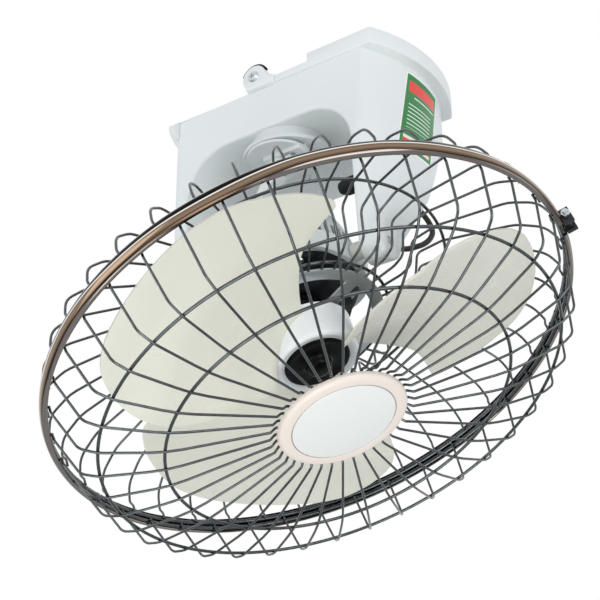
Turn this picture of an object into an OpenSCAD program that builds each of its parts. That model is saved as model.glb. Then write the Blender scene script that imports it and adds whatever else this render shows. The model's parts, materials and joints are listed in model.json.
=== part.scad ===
// Orbital ceiling fan: a caged three-blade fan head that hangs in a gimbal
// under a ceiling housing. A slow gear motor in the housing carries the tail
// of the head round in a circle, so the air stream sweeps the whole room.
//
// Frame: millimetres, +Z up. The origin is the centre of the ceiling plate's
// bolt pattern, on the face that meets the ceiling. -Y is the front.

/* [Ceiling housing] */
// Radius of the rounded ends of the housing wall
body_r = 124; // [120:1:132]
// Distance between the flat front and rear walls
body_depth = 140; // [136:1:150]
// Wall thickness of the housing
body_wall = 2.5; // [2:0.1:3.5]
// Gap between the ceiling and the top of the rim
ceiling_gap = 11; // [9:1:13]
// Height of the rim round the right end
lip_h = 17; // [14:1:20]
// How far the rim stands out at the rounded ends
lip_w = 10; // [6:1:12]
// Height of the rim's low stretch beside the screw lug
low_lip_h = 8; // [6:1:12]
// Radius of each side lug that takes a fixing screw
lug_r = 12.5; // [11.5:0.5:13]
// Height from the ceiling to the arch over the gimbal
arch_drop = 73; // [69:1:75]
// Half of the clear width between the two legs
arch_half_w = 89; // [87:0.5:91]
// Radius of the arch's upper corners
arch_corner_r = 46; // [30:1:50]
// How far the rounded leg end reaches below the pivot
leg_tip_r = 16; // [14:0.5:16]

/* [Gimbal] */
// Height from the ceiling down to the gimbal centre
gimbal_drop = 216; // [214:1:226]
// How far the gimbal centre lies in front of the plate's centre
gimbal_ahead = 47; // [46:0.5:50]
// Angle between the fan's axis and the vertical
head_tilt = 23; // [21:0.5:23]
// Outer radius of the gimbal ring
ring_r = 76.5; // [76:0.1:77]
// Wall thickness of the gimbal ring
ring_wall = 5.5; // [4.5:0.1:5.6]
// Width of the gimbal ring along its axis
ring_w = 16; // [14:1:17]
// Radius of the leg pins that carry the ring
pin_r = 4; // [3.5:0.1:4.5]

/* [Orbit drive] */
// Radius of the round gear cover under the arch
gear_cover_r = 43; // [41:1:46]
// How far the drive shaft stands off the gear cover's centre
shaft_offset = 15; // [13:0.5:16]
// Radius of the vertical drive shaft
drive_shaft_r = 5; // [4.5:0.1:6]
// Radius of the disc that turns with the drive shaft
crank_disc_r = 30; // [29:0.5:33]
// Distance from the gimbal centre to the tail bearing's centre
tail_reach = 84; // [84:0.5:86]
// Outer radius of the tail bearing
tail_bearing_r = 11; // [10.5:0.1:12]
// Radius of the tail pin in that bearing
tail_pin_r = 4; // [3.5:0.1:4.5]

/* [Motor] */
// Outer radius of the domed rear cover
dome_r = 69.5; // [68:0.1:69.6]
// Wall thickness of the motor covers
motor_wall = 2.5; // [2:0.1:3]
// Outer radius of the dark front cover
can_r = 48; // [47:0.1:48.2]
// Radius of the motor shaft
shaft_r = 4; // [3.5:0.1:4.5]
// Outer radius of the two motor ball bearings
bearing_r = 11; // [10.5:0.1:12]
// Width of every ball bearing
bearing_w = 7; // [6:0.5:7.5]
// Radius of the stator's bore
stator_bore_r = 24.5; // [22:0.5:27]
// Length of the stator and rotor stacks
stack_l = 30; // [24:1:34]

/* [Guard] */
// Outer radius of the belt round the guard
guard_r = 230; // [226:1:240]
// Width of the belt
belt_w = 14; // [13:0.5:16]
// Sheet thickness of the belt
belt_wall = 1.2; // [1:0.1:1.5]
// Distance from the gimbal centre forward to the belt's middle plane
belt_ahead = 95; // [95:0.5:100]
// Number of radial wires in each half of the guard
rib_count = 40; // [36:2:48]
// Radius of the radial wires
rib_wire_r = 1.1; // [1:0.05:1.3]
// Radius of the ring wires
ring_wire_r = 1.4; // [1.2:0.05:1.6]
// Radius of the rim wires held by the belt
rim_wire_r = 2.4; // [2.2:0.1:2.6]
// Height of the front guard's flat in front of the belt plane
front_rise = 65; // [62:1:70]
// Radius of the front guard's outer ring wire
shoulder_ring_r = 196; // [190:1:200]
// Radius of the front guard's inner ring wire
front_ring_r = 146; // [130:1:155]
// Radius of the rear guard's ring wire
rear_ring_r = 141; // [138:1:146]
// Radius of the plate that carries the rear guard
guard_plate_r = 72; // [68:1:74]
// Thickness of that plate
guard_plate_t = 2; // [1.6:0.1:2.4]

/* [Front cap] */
// Outer radius of the front cap
cap_r = 55; // [52:1:60]
// Height of the front cap
cap_h = 6; // [5:0.5:8]
// Radius of the round face let into the cap
insert_r = 44; // [40:1:46]
// How far the middle of that face stands proud of the cap
insert_crown = 3; // [2:0.5:4]

/* [Rotor] */
// Tip radius of the blades
blade_r = 198; // [190:1:200]
// Thickness of the blades
blade_t = 2.2; // [2:0.1:3]
// Radius of the hub at its rear rim
hub_r = 40; // [39:0.5:42]
// Wall thickness of the hub
hub_wall = 2.6; // [2:0.1:3.2]
// Radius of the black spinner cap
spinner_r = 28.5; // [26:0.5:31]

/* [Hidden] */
$fn = 96;
fine = 0.05;                    // running clearance on a radius
seat_gap = 0.1;                 // gap between a wire's end and what carries it
sheet_t = 2;                    // thickness of pressed sheet parts
belt_r_in = guard_r - belt_wall;

// ---- ceiling housing, heights measured from the ceiling ----
plate_w = 150;
plate_d = 72;
plate_hole_r = 2.75;
plate_hole_x = 60;
plate_hole_y = 30;
plate_entry_r = 14;
plate_tab_w = 16;
plate_arm_drop = 22;            // the bracket arms lie below the low top edge
plate_tab_h = 13;
rim_top = -ceiling_gap;
rim_foot = rim_top - lip_h;     // the flat walls end here left of the lug
lip_side = 2;                   // how far the rim stands proud of the flat walls
low_lip_end = 46;               // the rim steps up to its full height here
left_lip_x = -101;              // the left end's flange starts here
flange_edge = 3;                // height of that flange at its edge
flange_cove = 18;               // and how far its underside runs down to the wall
lug_x = -11;
lug_proud = 5;
lug_drop = lug_r + 3;
lug_flank = 9;                  // half width of the lug's foot on its left side
lug_fillet = 9;                 // radius where the lug runs out into the rim
pad_t = 2;
screw_r = 2.5;
screw_head_r = 5.6;
screw_head_t = 2.6;
label_corners = [[-40, 96], [6, 92], [28.5, 183], [-24, 182]];  // across, over the pivot
buffer_up = 67;                 // height of the rubber stop over the pivot
buffer_r = 8;
leg_taper_z = [15, 58];         // heights over the pivot where the leg's side slants
leg_low_x = 112;
leg_front_z = 85;               // the front wall starts to slant here
leg_front_y = -14;              // front and rear edge of the leg at the pivot
leg_rear_y = 20;
leg_rear_slope = 0.5;
leg_solid_top = 17;             // the leg is solid up to this height over the pivot
pin_out = leg_low_x - 1;

// ---- gimbal and orbit drive, heights measured from the gimbal centre ----
ring_in = ring_r - ring_wall;
arch_z = gimbal_drop - arch_drop;
cover_face_z = arch_z - 17;     // underside of the gear cover
cover_flange_t = 4;
cover_neck_r = 36;
gear_motor_r = 26;
gear_motor_h = 24;
disc_t = 3;
disc_z = cover_face_z - 2 - disc_t;
arm_plate_t = 4;
arm_plate_z = disc_z - arm_plate_t;
hub_h = 12;
arm_hub_r = 10;
arm_plate_half = 12.5;
arm_w = 14;
tail_seat_r = tail_bearing_r + 3;
tail_seat_w = bearing_w + 1;
bolt_x = [15, 23];
bolt_y = [-7, 6];
bolt_r = 3;
bolt_head_t = 4;
washer_t = 1;

// ---- fan head, distances along the fan's axis from the gimbal centre ----
plate_front = belt_ahead - 31;
plate_back = plate_front - guard_plate_t;
can_front = 51;
can_rear = -stack_l / 2 - 1;
can_slot_r = 3.5;
can_slot_z = can_front - 2.9 - can_slot_r;
can_slot_turn = -139;
face_slot_r = 31;
dome_cut = 31;
dome_lid_t = 2.5;
neck_r = 24;
boss_r = 14;
boss_front = -36;
dome_boss_r = 12;
dome_boss_back = -71;
tail_collar_r = 7;
front_bearing = plate_back - 4 - bearing_w;
rear_bearing = boss_front - bearing_w;
winding_l = 11;
hub_back = plate_front + 4;
hub_front = belt_ahead + 5;
hub_front_r = hub_r - 3;
shaft_front = hub_front + 5;
plate_band = 11;                // width of the guard plate's outer ring
spoke_w = 12;                   // width of the four spokes inside it
spider_turn = 10;
rear_h = -32;                   // floor of the rear guard, from the belt plane
rib_drop = 3;                   // step of the front wires under the cap
cap_back = front_rise - rib_drop + rib_wire_r + seat_gap;
insert_sunk = 2.4;
rim_r = belt_r_in - rim_wire_r - 0.3;
rim_h = 3.1;
rib_end_r = rim_r - rim_wire_r - rib_wire_r - seat_gap;
clamp_turn = 166;
rotor_turn = -127.5;
blades = 3;

// Outline of one blade: radius, angle of the rear edge, angle of the front edge
blade_rows = [
    [hub_r - 2, 9, 98], [60, 8, 96], [85, 6, 94.5], [110, 3, 92], [135, -4, 88],
    [blade_r - 44, -8, 84], [blade_r - 28, 0, 79], [blade_r - 14, 11, 73],
    [blade_r - 4, 20, 67], [blade_r, 30, 60]
];
blade_span = [-8, 86];          // angles that the full chord covers near the tip
blade_steps = 8;
blade_back = -22;               // height of the rear edge from the belt plane
blade_camber = 1.6;

// Route of the motor lead behind the right leg, from the gimbal centre
lead_r = 2.5;
lead_sides = 8;
lead_route = [
    [97, 62, 74], [97, 66, 74], [98, 70, 72.5], [100, 74, 69], [102.5, 76.5, 64],
    [105.5, 78, 58], [108, 78, 51.5], [109.5, 77, 45], [109.5, 74, 39],
    [108.5, 70, 33.5], [106, 65, 28.5], [103, 59, 24.5], [99.5, 53, 21],
    [97, 46.5, 18.5], [96, 40, 16.5], [96, 33.5, 16.5]
];
grommet_r = 5;
grommet_t = 2.5;

// ---------------------------------------------------------------- places

module at_gimbal() { translate([0, -gimbal_ahead, -gimbal_drop]) children(); }

// +Z of this place points forward along the fan's axis
module at_head() { at_gimbal() rotate([0, 180 - head_tilt, 0]) children(); }

module on_both_sides() {
    children();
    mirror([1, 0, 0]) children();
}

module around(count, radius, turn = 0) {
    for (i = [0:count - 1]) rotate(turn + 360 * i / count) translate([radius, 0, 0]) children();
}

module tube(outer, inner, h) {
    difference() {
        cylinder(r = outer, h = h);
        translate([0, 0, -1]) cylinder(r = inner, h = h + 2);
    }
}

// Pan-head screw with a cross recess: the head's seat is at z = 0, the head above it
module pan_screw(r, head_r, head_t, length) {
    difference() {
        union() {
            translate([0, 0, -length]) cylinder(r = r, h = length);
            cylinder(r1 = head_r, r2 = head_r * 0.72, h = head_t);
        }
        for (turn = [0, 90]) rotate(turn)
            translate([-head_r * 0.45, -head_r * 0.09, head_t * 0.4])
                cube([head_r * 0.9, head_r * 0.18, head_t]);
    }
}

// ---------------------------------------------------------------- swept wires

function unit(v) = v / norm(v);
function leg(path, i) = unit(path[i + 1] - path[i]);
function way(path, i) =
    i == 0 ? leg(path, 0)
    : i == len(path) - 1 ? leg(path, i - 1)
    : unit(leg(path, i - 1) + leg(path, i));

// How much a ring of points widens at a bend, so that the wire keeps its thickness
function mitre(path, i) = i == 0 || i == len(path) - 1 ? 1 : 1 / (way(path, i) * leg(path, i));

// Rings of points round a path in the plane of r and z
function wire_points(path, r, sides) = [
    for (i = [0:len(path) - 1], k = [0:sides - 1])
        let (w = way(path, i), s = r * mitre(path, i) * cos(360 * k / sides))
        [path[i].x - w.y * s, r * sin(360 * k / sides), path[i].y + w.x * s]
];

// Rings of points round a path in space that never runs along X
function lead_points(path, r, sides) = [
    for (i = [0:len(path) - 1], k = [0:sides - 1])
        let (w = way(path, i), n = unit(cross(w, [1, 0, 0])), b = cross(w, n))
        path[i] + r * (cos(360 * k / sides) * n + sin(360 * k / sides) * b)
];

function tube_faces(rings, sides) = concat(
    [[for (k = [0:sides - 1]) k]],
    [[for (k = [sides - 1:-1:0]) (rings - 1) * sides + k]],
    [for (i = [0:rings - 2], k = [0:sides - 1])
        [i * sides + k, (i + 1) * sides + k, (i + 1) * sides + (k + 1) % sides]],
    [for (i = [0:rings - 2], k = [0:sides - 1])
        [i * sides + k, (i + 1) * sides + (k + 1) % sides, i * sides + (k + 1) % sides]]
);

module bent_wire(path, r, sides = 6) {
    polyhedron(wire_points(path, r, sides), tube_faces(len(path), sides), convexity = 4);
}

// A round wire bent to a closed ring about the fan's axis
module wire_ring(radius, height, r) {
    translate([0, 0, height]) rotate_extrude() translate([radius, 0]) circle(r = r, $fn = 24);
}

// ---------------------------------------------------------------- ceiling housing

// Plan of the housing: a circle cut by two flats
module plan(r, depth) {
    intersection() {
        circle(r = r);
        square([2 * r + 2, depth], center = true);
    }
}

// The arch between the legs, seen from the front, grown by g on every side
module arch(g = 0) {
    half = arch_half_w + g;
    corner = arch_corner_r + g;
    top = arch_z + g;
    translate([-half, -60]) square([2 * half, top - corner + 60]);
    translate([-half + corner, top - corner - 1]) square([2 * (half - corner), corner + 1]);
    for (side = [-1, 1]) translate([side * (half - corner), top - corner]) circle(r = corner);
}

// The housing seen from the front, shrunk by g
module front_view(g = 0) {
    low = leg_low_x - g;
    high = body_r + lip_w;
    difference() {
        polygon([
            [-high, gimbal_drop + 5], [high, gimbal_drop + 5], [high, leg_taper_z[1] + 20],
            [body_r - g, leg_taper_z[1]], [low, leg_taper_z[0]], [low, -leg_tip_r - 5],
            [-low, -leg_tip_r - 5], [-low, leg_taper_z[0]], [-body_r + g, leg_taper_z[1]],
            [-high, leg_taper_z[1] + 20]
        ]);
        arch(g);
    }
}

// The housing seen from the side, y forward of the gimbal negative, shrunk by g
module side_view(g = 0) {
    front = gimbal_ahead - body_depth / 2 + g;
    rear = gimbal_ahead + body_depth / 2 - g;
    pivot_y = (leg_front_y + leg_rear_y) / 2;
    union() {
        polygon([
            [front, gimbal_drop + 5], [front, leg_front_z], [leg_front_y + g, 2],
            [leg_rear_y + 1 - g, 2], [leg_rear_y + leg_rear_slope * arch_z - g, arch_z + g],
            [rear, arch_z + g], [rear, gimbal_drop + 5]
        ]);
        translate([pivot_y, 2]) circle(r = (leg_rear_y - leg_front_y) / 2 - g);
    }
}

module housing_body() {
    drop = gimbal_drop + leg_tip_r;
    intersection() {
        translate([0, 0, -drop]) linear_extrude(drop + rim_top) plan(body_r, body_depth);
        at_gimbal() translate([0, 200, 0]) rotate([90, 0, 0]) linear_extrude(400) front_view();
        at_gimbal() translate([-200, 0, 0]) rotate([90, 0, 90]) linear_extrude(400) side_view();
    }
}

module housing_hollow() {
    drop = gimbal_drop - leg_solid_top;
    intersection() {
        translate([0, 0, -drop]) linear_extrude(drop + 5)
            plan(body_r - body_wall, body_depth - 2 * body_wall);
        at_gimbal() translate([0, 200, 0]) rotate([90, 0, 0])
            linear_extrude(400) front_view(body_wall);
        at_gimbal() translate([-200, 0, 0]) rotate([90, 0, 90])
            linear_extrude(400) side_view(body_wall);
    }
}

// Rim of full height round the right end, low beside the lug, and the left end's flange
module rim() {
    translate([0, 0, rim_foot]) linear_extrude(lip_h) difference() {
        plan(body_r + lip_w, body_depth + 2 * lip_side);
        plan(body_r - 1, body_depth - 2);
        translate([-2 * body_r, -body_r]) square([2 * body_r + lug_x, 2 * body_r]);
    }
    intersection() {
        rotate_extrude() polygon([
            [body_r - 1, rim_foot], [body_r + lip_w, rim_foot],
            [body_r + lip_w, rim_foot - flange_edge],
            [body_r - 1, rim_foot - flange_edge - flange_cove]
        ]);
        translate([left_lip_x - body_r, -body_depth / 2 - lip_side, rim_foot - lip_h - 20])
            cube([body_r, body_depth + 2 * lip_side, lip_h + 20]);
    }
}

// The room over the stepped top edge: the walls are low left of the lug
module over_rim() {
    translate([-2 * body_r, -body_r, rim_foot]) cube([2 * body_r + lug_x, 2 * body_r, 99]);
    translate([lug_x - 1, -body_r, rim_foot + low_lip_h])
        cube([low_lip_end - lug_x + 1, 2 * body_r, 99]);
}

// Outline of a screw lug seen from the front: its foot runs out into the rim on the right
module lug_outline() {
    foot = rim_foot + low_lip_h + lug_drop;
    difference() {
        union() {
            circle(r = lug_r);
            translate([-lug_flank, rim_foot + lug_drop - 1])
                square([lug_flank + lug_r + lug_fillet, foot - rim_foot - lug_drop + 1]);
            translate([-lug_flank, foot - 1]) square([lug_flank + lug_r, 1 - foot]);
            translate([0, foot - 1]) square([lug_r + lug_fillet, lug_fillet + 1]);
        }
        translate([lug_r + lug_fillet, foot + lug_fillet]) circle(r = lug_fillet);
    }
}

// Screw lug that stands up from the front or rear wall, its face looking along -Y
module lug() {
    translate([lug_x, -body_depth / 2 + body_wall, -lug_drop]) rotate([90, 0, 0])
        linear_extrude(body_wall + lug_proud) lug_outline();
}

module lug_hole() {
    translate([lug_x, -body_depth / 2 + 10, -lug_drop]) rotate([90, 0, 0])
        cylinder(r = screw_r + 0.3, h = 30);
}

module front_and_rear() {
    children();
    mirror([0, 1, 0]) children();
}

module housing_shell() {
    color([0.90, 0.91, 0.90]) difference() {
        union() {
            difference() {
                union() {
                    housing_body();
                    rim();
                }
                housing_hollow();
                over_rim();
            }
            front_and_rear() lug();
        }
        front_and_rear() lug_hole();
        // hole in the arch for the drive shaft and its bush
        at_gimbal() translate([0, 0, arch_z - 5]) cylinder(r = drive_shaft_r + 2, h = 15);
        // screw holes of the gear cover and of the gear motor
        at_gimbal() translate([0, shaft_offset, arch_z - 5]) {
            around(3, cover_neck_r - 5, 90) cylinder(r = 1.6, h = 12);
            around(2, gear_motor_r + 4) cylinder(r = 1.6, h = 12);
        }
        // bores of the leg pins, right through each leg
        at_gimbal() translate([-body_r - 10, 0, 0]) rotate([0, 90, 0])
            cylinder(r = pin_r, h = 2 * body_r + 20);
        // lead holes in the rear of the right leg
        at_gimbal() for (end = [0, len(lead_route) - 1])
            translate([lead_route[end].x, lead_route[end].y, lead_route[end].z])
                rotate([90, 0, 0]) cylinder(r = grommet_r - 1.2, h = 18);
    }
}

module ceiling_plate() {
    color([0.75, 0.76, 0.77]) difference() {
        union() {
            translate([-plate_w / 2, -plate_d / 2, -sheet_t]) cube([plate_w, plate_d, sheet_t]);
            // brackets for the lug screws: down from the plate, forward, and up behind the lug
            front_and_rear() translate([lug_x - plate_tab_w / 2, 0, -plate_arm_drop]) {
                translate([0, -plate_d / 2, 0]) cube([plate_tab_w, sheet_t, plate_arm_drop]);
                translate([0, -body_depth / 2 + body_wall + 0.3, 0]) {
                    cube([plate_tab_w, body_depth / 2 - body_wall - plate_d / 2, sheet_t]);
                    cube([plate_tab_w, sheet_t, plate_tab_h]);
                }
            }
        }
        translate([0, 0, -sheet_t - 1]) {
            for (x = [-plate_hole_x, plate_hole_x], y = [-plate_hole_y, plate_hole_y])
                translate([x, y]) cylinder(r = plate_hole_r, h = sheet_t + 2);
            cylinder(r = plate_entry_r, h = sheet_t + 2);
        }
        front_and_rear() translate([lug_x, -body_depth / 2 + 10, -lug_drop])
            rotate([90, 0, 0]) cylinder(r = screw_r, h = 20);
    }
}

module lug_screws() {
    color([0.78, 0.79, 0.80]) front_and_rear()
        translate([lug_x, -body_depth / 2 - lug_proud, -lug_drop]) rotate([90, 0, 0])
            pan_screw(screw_r, screw_head_r, screw_head_t, lug_proud + body_wall + sheet_t + 3);
}

// Rubber collars over the lugs, which keep them off the ceiling
module lug_pads() {
    // the collar ends on top of the lug's foot
    cut_off = rim_foot + low_lip_h + lug_drop + lug_fillet + 0.6;
    color([0.07, 0.07, 0.07]) front_and_rear()
        translate([lug_x, -body_depth / 2 - 0.1, -lug_drop]) rotate([90, 0, 0])
            difference() {
                cylinder(r = lug_r + pad_t, h = lug_proud - 1.5);
                translate([0, 0, -1]) cylinder(r = lug_r + fine, h = lug_proud);
                translate([-2 * lug_r, cut_off - 3 * lug_r, -1])
                    cube([4 * lug_r, 3 * lug_r, lug_proud + 2]);
            }
}

module leg_pins() {
    color([0.72, 0.73, 0.74]) at_gimbal() on_both_sides()
        translate([ring_in + 0.3, 0, 0]) rotate([0, 90, 0])
            cylinder(r = pin_r, h = pin_out - ring_in - 0.3);
}

// Plastic sleeves on the pins that centre the ring between the legs
module leg_spacers() {
    color([0.86, 0.86, 0.84]) at_gimbal() on_both_sides()
        translate([ring_r + 0.4, 0, 0]) rotate([0, 90, 0])
            tube(pin_r + 4, pin_r, arch_half_w - ring_r - 0.4);
}

module orbit_motor() {
    floor_z = arch_z + body_wall;
    color([0.62, 0.64, 0.66]) at_gimbal() translate([0, shaft_offset, floor_z]) difference() {
        union() {
            cylinder(r = gear_motor_r, h = gear_motor_h);
            for (side = [-1, 1]) translate([side * gear_motor_r, 0, 0]) {
                cylinder(r = 8, h = 1.5);
            }
        }
        translate([0, -shaft_offset, -1])
            cylinder(r = drive_shaft_r + fine, h = gear_motor_h * 0.6 + 1);
        around(2, gear_motor_r + 4) translate([0, 0, -1]) cylinder(r = 1.6, h = 4);
    }
}

module orbit_motor_screws() {
    color([0.78, 0.79, 0.80]) at_gimbal()
        translate([0, shaft_offset, arch_z + body_wall + 1.5]) around(2, gear_motor_r + 4)
            pan_screw(1.5, 2.8, 1.6, body_wall + 1.5);
}

module gear_cover() {
    neck_h = arch_z - cover_face_z - cover_flange_t;
    color([0.86, 0.88, 0.88]) at_gimbal() translate([0, shaft_offset, cover_face_z])
        difference() {
            union() {
                cylinder(r = gear_cover_r, h = cover_flange_t);
                translate([0, 0, cover_flange_t]) cylinder(r = cover_neck_r, h = neck_h);
            }
            translate([0, 0, cover_flange_t])
                cylinder(r = cover_neck_r - 10, h = neck_h + 1);
            translate([0, -shaft_offset, -1]) cylinder(r = drive_shaft_r + 4, h = neck_h + 20);
            around(3, cover_neck_r - 5, 90) translate([0, 0, -1])
                cylinder(r = 1.6, h = neck_h + 10);
        }
}

module gear_cover_screws() {
    color([0.75, 0.76, 0.77]) at_gimbal()
        translate([0, shaft_offset, cover_face_z]) around(3, cover_neck_r - 5, 90)
            rotate([180, 0, 0]) pan_screw(1.55, 3.2, 1.4, arch_z - cover_face_z + body_wall);
}

// Sintered bush for the drive shaft, pressed into the gear cover
module drive_bush() {
    color([0.70, 0.58, 0.36]) at_gimbal() translate([0, 0, cover_face_z])
        tube(drive_shaft_r + 4, drive_shaft_r + fine, cover_flange_t + 4);
}

module run_capacitor() {
    color([0.88, 0.88, 0.86]) at_gimbal()
        translate([-42, gimbal_ahead + 15, arch_z + body_wall]) cube([22, 36, 28]);
}

module terminal_block() {
    color([0.92, 0.92, 0.90]) at_gimbal()
        translate([-12, gimbal_ahead + 30, arch_z + body_wall]) difference() {
            cube([48, 16, 16]);
            for (x = [6, 18, 30, 42]) translate([x, 8, 6]) cylinder(r = 2.2, h = 12);
        }
}

// Blank sticker on the rounded right end of the housing
module side_label() {
    color([0.10, 0.45, 0.28]) translate([0, 0, -gimbal_drop]) intersection() {
        tube(body_r + fine + 0.25, body_r + fine, gimbal_drop);
        rotate([90, 0, 90]) linear_extrude(body_r + 10) polygon(label_corners);
    }
}

// Rubber stop on the inner face of the right leg
module rubber_buffer() {
    color([0.06, 0.06, 0.06]) at_gimbal() translate([arch_half_w, 0, buffer_up])
        rotate([0, -90, 0]) {
            cylinder(r = buffer_r, h = 18);
            translate([0, 0, 18]) cylinder(r1 = buffer_r, r2 = buffer_r - 3, h = 7);
        }
}

// Rubber sleeves in the lead holes, outside faces flush with the lead's ends
module lead_grommets() {
    color([0.08, 0.08, 0.08]) at_gimbal() for (end = [0, len(lead_route) - 1])
        translate(lead_route[end]) rotate([90, 0, 0]) difference() {
            union() {
                cylinder(r = grommet_r, h = grommet_t);
                cylinder(r = grommet_r - 1.2, h = 10);
            }
            translate([0, 0, 4]) cylinder(r = lead_r, h = 20);
        }
}

module motor_lead() {
    color([0.16, 0.165, 0.15]) at_gimbal()
        polyhedron(lead_points(lead_route, lead_r, lead_sides),
                   tube_faces(len(lead_route), lead_sides), convexity = 4);
}

// ---------------------------------------------------------------- crank

module drive_shaft() {
    color([0.72, 0.73, 0.74]) at_gimbal() translate([0, 0, arm_plate_z - hub_h])
        cylinder(r = drive_shaft_r, h = arch_z + body_wall + gear_motor_h * 0.5
                 - arm_plate_z + hub_h);
}

module crank_disc() {
    color([0.80, 0.82, 0.82]) at_gimbal() translate([0, 0, disc_z]) difference() {
        cylinder(r = crank_disc_r, h = disc_t);
        translate([0, 0, -1]) cylinder(r = drive_shaft_r, h = disc_t + 2);
        crank_bolt_holes();
    }
}

module crank_bolt_holes() {
    for (i = [0, 1]) translate([bolt_x[i], bolt_y[i], -40]) cylinder(r = bolt_r, h = 80);
}

// Arm from the hub on the drive shaft to the tilted seat of the tail bearing
module crank_arm() {
    back = tail_reach - tail_seat_w / 2;
    front = tail_reach + tail_seat_w / 2;
    away = [-sin(head_tilt), cos(head_tilt)];
    across = [cos(head_tilt), sin(head_tilt)];
    hub_z = arm_plate_z - hub_h;
    color([0.90, 0.91, 0.90]) at_gimbal() difference() {
        union() {
            translate([0, 0, hub_z]) cylinder(r = arm_hub_r, h = hub_h + 1);
            translate([-arm_hub_r, -arm_plate_half, arm_plate_z])
                cube([arm_hub_r + bolt_x[1] + 6, 2 * arm_plate_half, arm_plate_t]);
            rotate([0, -head_tilt, 0]) translate([0, 0, back])
                cylinder(r = tail_seat_r, h = tail_seat_w);
            translate([0, arm_w / 2, 0]) rotate([90, 0, 0]) linear_extrude(arm_w) polygon([
                back * away + (tail_seat_r - 2) * across,
                front * away + (tail_seat_r - 2) * across,
                [-arm_hub_r, hub_z + 4], [-arm_hub_r, arm_plate_z + 1], [4, arm_plate_z + 1],
                [4, hub_z]
            ]);
        }
        rotate([0, -head_tilt, 0]) {
            translate([0, 0, back - 1]) cylinder(r = tail_bearing_r, h = bearing_w + 1);
            translate([0, 0, back]) cylinder(r = tail_bearing_r - 2, h = 20);
        }
        translate([0, 0, hub_z - 1]) cylinder(r = drive_shaft_r, h = 60);
        crank_bolt_holes_at(arm_plate_z);
    }
}

module crank_bolt_holes_at(z) { translate([0, 0, z]) crank_bolt_holes(); }

module crank_bolts() {
    color([0.80, 0.80, 0.76]) at_gimbal() for (i = [0, 1])
        translate([bolt_x[i], bolt_y[i], arm_plate_z - washer_t]) {
            cylinder(r = bolt_r, h = washer_t + arm_plate_t + disc_t);
            translate([0, 0, -bolt_head_t]) cylinder(r = 5.2, h = bolt_head_t, $fn = 6);
        }
}

module crank_washers() {
    color([0.84, 0.84, 0.80]) at_gimbal() for (i = [0, 1])
        translate([bolt_x[i], bolt_y[i], arm_plate_z - washer_t])
            tube(5.8, bolt_r, washer_t);
}

// Ball bearing, drawn as one ring with a groove between its races
module ball_bearing(outer, inner) {
    mid = (outer + inner) / 2;
    difference() {
        tube(outer, inner, bearing_w);
        for (z = [-1, bearing_w - 0.8]) translate([0, 0, z]) tube(mid + 1.6, mid - 1.6, 1.8);
    }
}

module tail_bearing() {
    color([0.66, 0.67, 0.68]) at_gimbal() rotate([0, -head_tilt, 0])
        translate([0, 0, tail_reach - tail_seat_w / 2])
            ball_bearing(tail_bearing_r, tail_pin_r + fine);
}

// ---------------------------------------------------------------- gimbal ring

module gimbal_ring() {
    color([0.78, 0.80, 0.80]) at_gimbal() difference() {
        translate([0, 0, -ring_w / 2]) tube(ring_r, ring_in, ring_w);
        translate([-100, 0, 0]) rotate([0, 90, 0]) cylinder(r = pin_r + fine, h = 200);
        translate([0, 100, 0]) rotate([90, 0, 0]) cylinder(r = pin_r, h = 200);
    }
}

// Screws that stand for the head's own pivots, front and rear of the ring
module ring_pivot_screws() {
    color([0.74, 0.75, 0.76]) at_gimbal() for (turn = [0, 180]) rotate(turn)
        translate([0, -ring_in, 0]) rotate([90, 0, 0]) difference() {
            cylinder(r = pin_r, h = ring_wall);
            translate([0, 0, ring_wall - 1.2]) for (cross = [0, 90]) rotate(cross)
                translate([-2.4, -0.5, 0]) cube([4.8, 1, 3]);
        }
}

// ---------------------------------------------------------------- motor

module motor_rear_cover() {
    color([0.82, 0.84, 0.84]) at_head() difference() {
        union() {
            difference() {
                intersection() {
                    sphere(r = dome_r);
                    translate([0, 0, dome_cut - 150]) cylinder(r = 100, h = 150);
                }
                sphere(r = dome_r - motor_wall);
            }
            // bearing seat and tail boss
            translate([0, 0, -66]) cylinder(r = boss_r, h = 66 + boss_front);
            translate([0, 0, dome_boss_back]) cylinder(r = dome_boss_r, h = 10);
        }
        translate([0, 0, rear_bearing]) cylinder(r = bearing_r, h = bearing_w + 1);
        translate([0, 0, rear_bearing - 4]) cylinder(r = shaft_r + 2, h = 10);
        translate([0, 0, dome_boss_back - 1]) cylinder(r = tail_pin_r, h = 20);
        // cooling slots round the pole
        around(10, 0) translate([26, -2, -75]) cube([18, 4, 40]);
        motor_screw_holes();
    }
}

module motor_screw_holes() {
    around(4, can_r + 6, 45) translate([0, 0, dome_cut - 8]) cylinder(r = 1.6, h = 20);
}

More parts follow.
